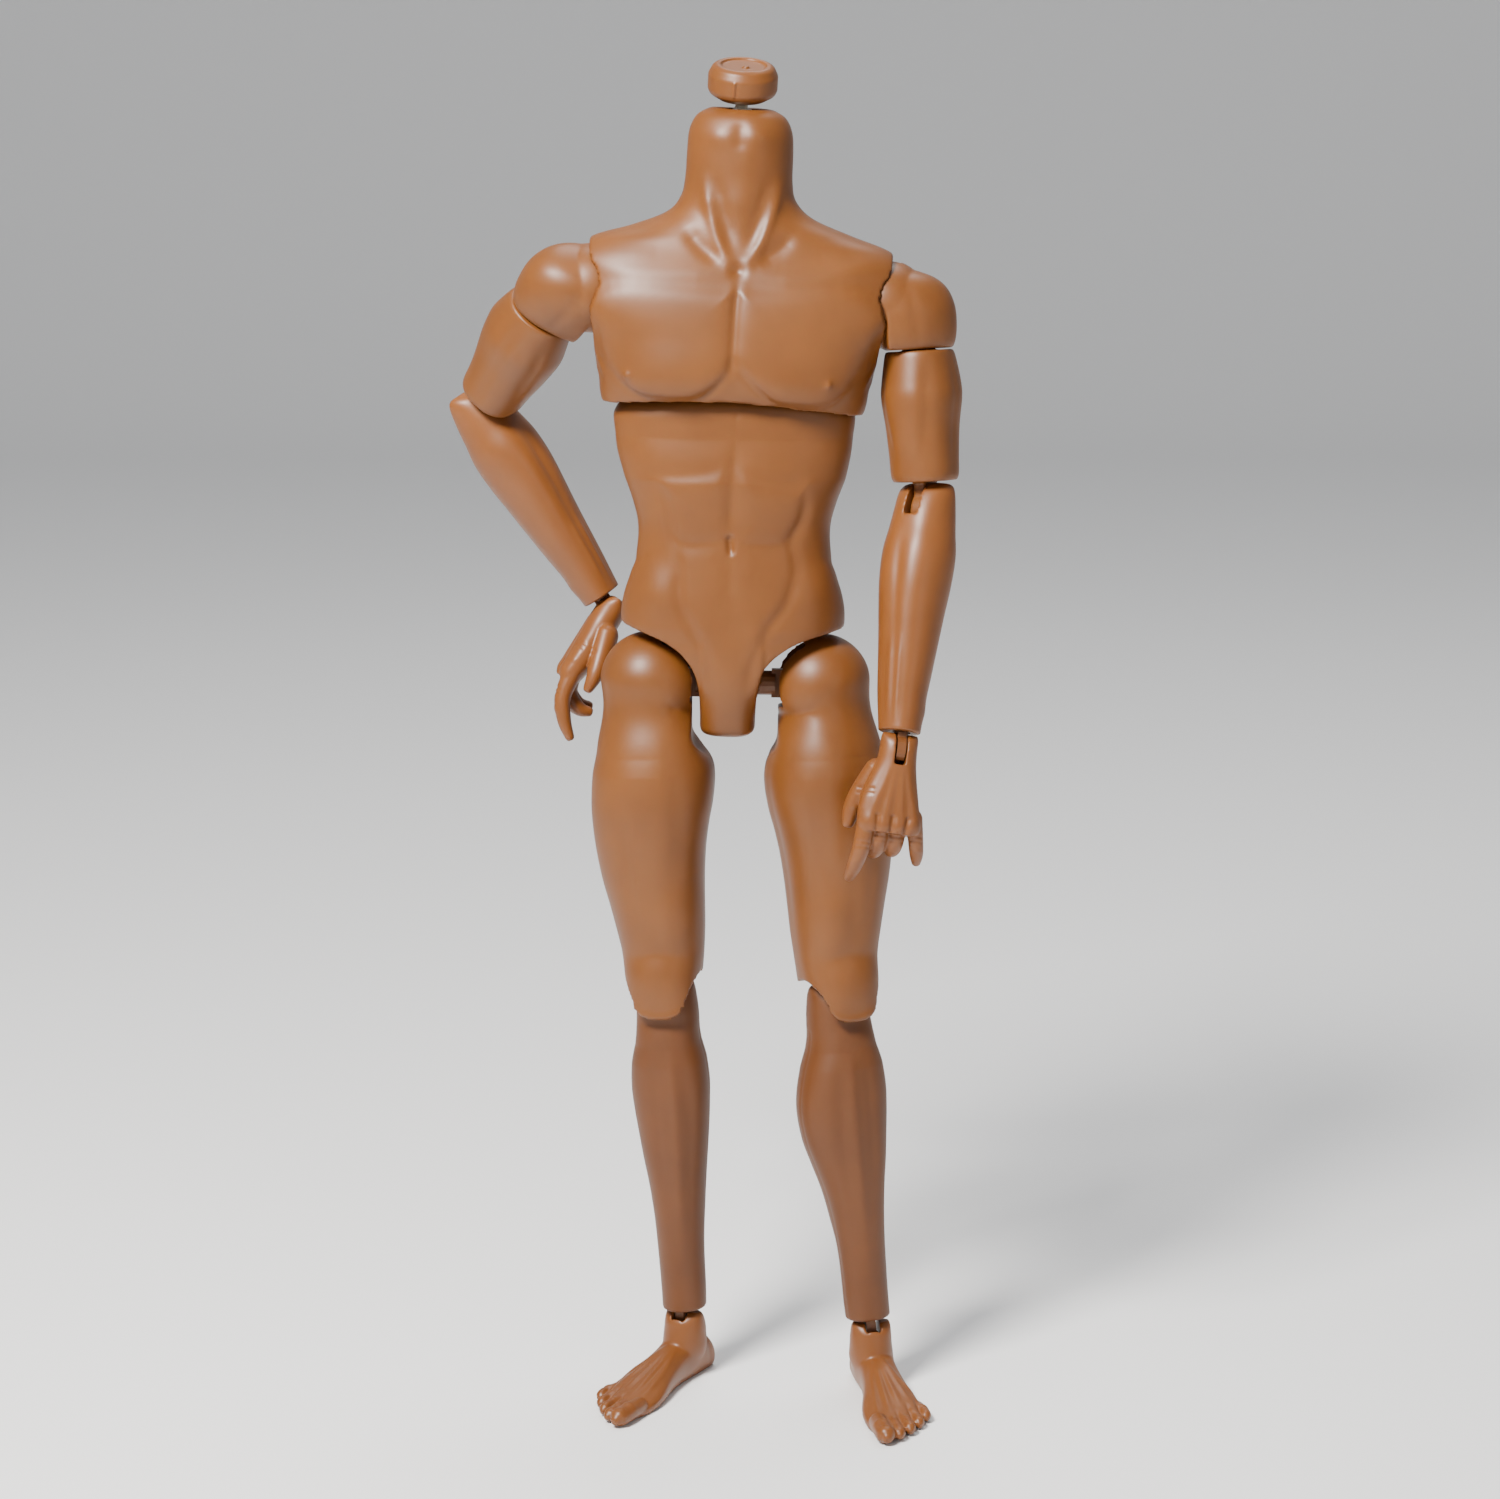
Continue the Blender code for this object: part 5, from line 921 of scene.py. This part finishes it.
# ---------------------------------------------------------------- legs
def thigh(s):
    t = tag(s)
    key = ("thigh", s)
    hollow = ([(-19.0, 0), (-19.0, 2.7), (-16.9, 2.7), (-16.9, 3.6), (-14.9, 3.6), (-14.9, 2.7)]
              + [(6.9 * math.sin(a), 6.9 * math.cos(a))
                 for a in (math.radians(d) for d in range(-66, 90, 6))] + [(6.9, 0)])
    window = [(0, -3.8), (-16, -3.8), (-16, 16), (-9, 16), (0, 5.0)]
    rear = [(0.0, -THIGH), (16, -THIGH - 6), (16, -THIGH + 9.4), (5.6, -THIGH + 9.0)]
    cuts = [turned(hollow),
            moved(plate([(u * s, w) for u, w in window][::s], 5.6), relative(("spread", s), key)),
            moved(cylinder(14.7, *((9.2, 24) if s < 0 else (-24, -9.2)), "X"),
                  relative(("hip_swing", s), key)),
            moved(cylinder(7.6, -14, 14, "X"), relative(("knee", s), key)),
            plate(rear, 14, "X"),
            plate(KNEE_FLAP, 14)]
    tongue = plate([(y, z - THIGH) for y, z in tongue_outline(KNEE_R, 9.0)], KNEE_TONGUE, "X")
    trim = [(z, i - 0.6 * math.exp(-((z + 66) / 7) ** 2), *rest) for z, i, *rest in THIGH_ROWS]
    ob = fuse("thigh_shell_" + t, stack(trim, s, ring=150), adds=[ball(HIP_BALL)], cuts=cuts,
              late=[tongue], voxel=0.42, smooth=3)
    c = Clay(ob, s)
    c.melt(lambda x, y, z: np.exp(-((z + 5.5) / 4.0) ** 2) * (np.hypot(x, np.hypot(y, z)) > 9.0)
           * np.clip((x + 4) / 3, 0, 1), 60)
    c.melt(lambda x, y, z: np.exp(-((z + 6.0) / 4.5) ** 2) * np.clip((x + 6) / 4, 0, 1) * np.clip(4 - y, 0, 1)
           * (np.hypot(x, np.hypot(y, z)) > 8.5), 260)
    c.melt(lambda x, y, z: np.exp(-((z + 16) / 4.5) ** 2) * np.clip((-x - 4) / 4, 0, 1), 120)
    c.bump((-0.2, -63.6), (5.0, 4.6), 0.55, power=3)                # kneecap
    c.line([(-6.0, -69.6), (-2.6, -71.2), (1.5, -71.3), (5.3, -70.0)], 0.35, 0.9)
    c.line([(-6.0, -58.5), (0, -57.4), (6.0, -58.8)], -0.22, 1.6)
    c.bump((-4.6, -50.5), (3.6, 6.0), 0.55, power=3)                # teardrop above the knee
    c.bump((5.0, -46.0), (3.4, 9.0), 0.3, power=3)
    c.line([(4.4, -24), (4.7, -36), (2.9, -54)], -0.22, 1.5)
    c.line([(-6.4, -16), (-6.6, -32), (-4.0, -44)], -0.22, 1.8)
    c.bump((1.0, -22.0), (6.5, 14.0), 0.35, power=3)
    for view in ("left", "right"):
        c.line([(1.5, -14), (2.0, -36), (1.0, -58)], -0.25, 2.0, view=view)
    c.line([(0, -22), (0.5, -40), (0, -56)], -0.35, 1.8, view="back")
    c.bump((-4.6, -36), (3.4, 14), 0.35, view="back", power=3)
    c.bump((4.6, -34), (3.4, 14), 0.35, view="back", power=3)
    c.line([(-9, -14.8), (0, -17.2), (9, -15.2)], -0.45, 1.2, view="back")
    c.hold(np.clip((c.v[:, 2] + 19) / 4, 0, 1), 0.28)
    c.hold(np.clip((-c.v[:, 2] - 67) / 2, 0, 1) * (c.v[:, 1] > -6), 0.1)
    c.done()
    finish_piece(ob, key, "thigh_" + t, ["thigh_" + t], SKIN)


def shin(s):
    t = tag(s)
    swell = [(z, i + SHIN_INNER[s] * math.exp(-((z + 24) / 13) ** 2)
              + 0.55 * math.exp(-((z + 2) / 6) ** 2), *rest)
             for z, i, *rest in SHIN_ROWS]
    cuts = [box(-12, 12, -12, 12, -90, -SHIN + 4.75),
            box(-KNEE_SLOT, KNEE_SLOT, -KNEE_R - GAP, 14, -KNEE_R - GAP, 14),
            cylinder(PIN_BORE, -5.9, 5.9, "X"),
            moved(turned([(0, 0), (0, 2.2), (12.0, 2.2), (12.0, 3.1), (14.2, 3.1), (14.2, 0)]),
                  relative(("foot_turn", s), ("knee", s)))]
    ob = fuse("shin_shell_" + t, stack(swell, s), cuts=cuts, voxel=0.4, smooth=3)
    c = Clay(ob, s)
    c.bump((0, -5.0), (3.0, 3.0), 0.4)
    c.line([(-1.6, -6), (-2.2, -20), (-1.8, -38), (-1.2, -58)], 0.4, 1.2)
    c.line([(1.6, -10), (1.8, -26), (1.4, -44)], -0.25, 1.4)
    c.line([(-4.6, -12), (-5.2, -26), (-4.0, -42)], -0.3, 1.4)
    c.line([(0.2, -14), (0.1, -26), (0.1, -36)], -0.4, 1.3, view="back")
    c.bump((-3.6, -22), (3.6, 9.5), 0.6, view="back", power=3)
    c.bump((3.4, -20), (3.2, 8.5), 0.5, view="back", power=3)
    c.line([(-4.8, -35), (0, -39.5), (4.4, -33)], -0.3, 1.5, view="back")
    c.line([(0, -42), (0, -66)], 0.45, 1.3, view="back")
    c.hold(np.clip((c.v[:, 2] + 12) / 4, 0, 1), 0.42)
    for view in ("left", "right"):
        c.line([(2.8, -48), (3.0, -66)], -0.3, 1.2, view=view)
        c.line([(0.0, -4), (0.4, -40), (0.0, -70)], -0.10, 0.35, view=view, taper=0)
    c.done()
    # the shin gets the darker copy of the plastic, painted shade for the light falling off down the legs
    finish_piece(ob, ("knee", s), "shin_" + t, ["shin_" + t], SHIN_PAINTED_SHADE)


def foot(s):
    t = tag(s)
    loops, ring = [], 96
    for ahead, inner, outer, top, full in spline(FOOT_ROWS, 7):
        mid = (top - SOLE - 1.0) / 2
        loop = []
        for k in range(ring):
            a = 2 * math.pi * (k + 0.5) / ring
            x = power(math.cos(a), full)
            x *= outer if x > 0 else inner
            loop.append((x * s, -ahead, mid + power(math.sin(a), full) * (top - mid)))
        loops.append(loop)
    toes = []
    for across, ahead, height, half, long in TOES:
        z = height - SOLE
        toes.append(tube([(across * s * 0.96, -ahead + long, z - 0.2, half * 0.9, half * 0.9),
                          (across * s, -ahead, z, half, half * 0.9),
                          (across * s, -ahead - long * 0.7, z - 0.1, half * 0.92, half * 0.86),
                          (across * s, -ahead - long * 0.88, z - 0.3, half * 0.6, half * 0.6)]))
    slot = [(-2.6, -2.8), (9, -2.8), (9, 9), (-4.0, 9), (-4.0, 4.1), (-2.6, -0.2)]
    cuts = [box(-16, 16, -40, 20, -SOLE - 8, -SOLE), plate(slot, 1.58, "X"),
            cylinder(PIN_BORE, -3.7, 3.7, "X")]
    ob = fuse("foot_shell_" + t, loft(loops), adds=[stack(ANKLE_ROWS, s)] + toes, cuts=cuts,
              voxel=0.3, smooth=4)
    c = Clay(ob, s)
    for across, ahead, height, half, long in TOES:
        tip = -ahead - long
        c.line([(across * 0.9, -ahead + long + 1.5), (across * 0.55, -12.0), (across * 0.2, -5.0)], 0.34, 0.7,
               view="top")
        c.bump((across, -ahead + 0.4), (half * 0.8, 0.9), 0.22, view="top")
        c.pad([(across - half * 0.5, tip + 0.7), (across + half * 0.5, tip + 0.7),
               (across + half * 0.5, tip + 2.4), (across - half * 0.5, tip + 2.4)], 0.14, 0.35, view="top")
    for (a, b, *_), (p, q, *_) in zip(TOES, TOES[1:]):
        c.line([((a + p) / 2, -(b + q) / 2 - 3), ((a + p) / 2, -(b + q) / 2 + 4.5)], -0.35, 0.5, view="top")
    for view in ("left", "right"):
        c.bump((0.5, -4.5), (2.2, 2.4), 0.45, view=view)
        c.line([(5.5, -9), (4.5, -3), (4.0, 1)], -0.25, 1.2, view=view)
    c.line([(0, -9), (0, 2)], 0.35, 1.3, view="back")
    flat = c.v[:, 2] < -SOLE + 0.35
    c.d[flat] = np.minimum(c.d[flat], 0)
    c.done()
    finish_piece(ob, ("foot", s), "foot_" + t, ["foot_" + t], LIMB)


# ---------------------------------------------------------------- build
head_and_neck()
chest()
abdomen()
for side in (-1, 1):
    shoulder_cap(side)
    upper_arm(side)
    forearm(side)
    hand(side)
    thigh(side)
    shin(side)
    foot(side)

FINISH = {"brown_body_plastic": SKIN, "brown_limb_plastic": LIMB, "brown_joint_plastic": INNER,
          "cream_peg_plastic": CREAM, "pin_steel": STEEL}
for part in frame["record"]["subparts"]:
    cad = frame["nodes"][part["node"]]
    for place in cad.material_slots:
        place.material = FINISH[part["material_slot"]]


# ---------------------------------------------------------------- floor, light, camera
def sweep():
    """Pale floor that curves up into a wall far behind the doll."""
    depth, height, bend = 1.6, 2.2, 0.5
    outline = [(-2.5, 0.0), (depth, 0.0)]
    outline += [(depth + bend * math.sin(a), bend - bend * math.cos(a))
                for a in (math.pi / 2 * k / 16 for k in range(1, 17))]
    outline.append((depth + bend, height))
    points = [(x, y, z) for y, z in outline for x in (-3.0, 3.0)]
    faces = [(2 * k, 2 * k + 1, 2 * k + 3, 2 * k + 2) for k in range(len(outline) - 1)]
    mesh = bpy.data.meshes.new("studio_floor")
    mesh.from_pydata(points, [], faces)
    mesh.polygons.foreach_set("use_smooth", [True] * len(faces))
    ob = bpy.data.objects.new("studio_floor", mesh)
    bpy.context.scene.collection.objects.link(ob)
    mat = bpy.data.materials.new("studio_floor")
    mat.use_nodes = True
    shader = mat.node_tree.nodes["Principled BSDF"]
    shader.inputs["Base Color"].default_value = (0.90, 0.90, 0.90, 1)
    shader.inputs["Roughness"].default_value = 0.9
    shader.inputs["Specular IOR Level"].default_value = 0.1
    mesh.materials.append(mat)


def area(name, place, target, size, power_w, colour=(1, 1, 1)):
    data = bpy.data.lights.new(name, "AREA")
    data.shape, data.size, data.energy, data.color = "DISK", size, power_w, colour
    ob = bpy.data.objects.new(name, data)
    ob.location = place
    ob.rotation_euler = (Vector(target) - Vector(place)).to_track_quat("-Z", "Y").to_euler()
    bpy.context.scene.collection.objects.link(ob)


sweep()
area("key", (-0.25, -0.37, 0.60), (0, 0, 0.24), 0.20, 11.5, (1.0, 0.97, 0.93))
area("fill", (0.75, -1.1, 0.45), (0, 0, 0.15), 0.6, 1.6, (0.95, 0.97, 1.0))
area("top", (0.1, 0.45, 1.1), (0, 0, 0.15), 0.6, 6.0)
world = bpy.data.worlds.new("studio")
world.use_nodes = True
world.node_tree.nodes["Background"].inputs["Color"].default_value = (0.95, 0.97, 1.0, 1)
world.node_tree.nodes["Background"].inputs["Strength"].default_value = 0.38
bpy.context.scene.world = world

LENS, SENSOR = 97.56, 36.0              # mm
CAMERA_AHEAD, CAMERA_HEIGHT = 850.0, 0.310   # mm in front of the pelvis line, m above the floor
CAMERA_DOWN = 11.35                     # degrees below the horizontal
camera_data = bpy.data.cameras.new("camera")
camera_data.lens, camera_data.sensor_width = LENS, SENSOR
camera_data.clip_start, camera_data.clip_end = 0.05, 20.0
camera = bpy.data.objects.new("camera", camera_data)
camera.location = (-FLOOR_CENTRE[0] / 1000, (-CAMERA_AHEAD - FLOOR_CENTRE[1]) / 1000, CAMERA_HEIGHT)
camera.rotation_euler = (math.radians(90 - CAMERA_DOWN), 0, 0)
bpy.context.scene.collection.objects.link(camera)
bpy.context.scene.camera = camera
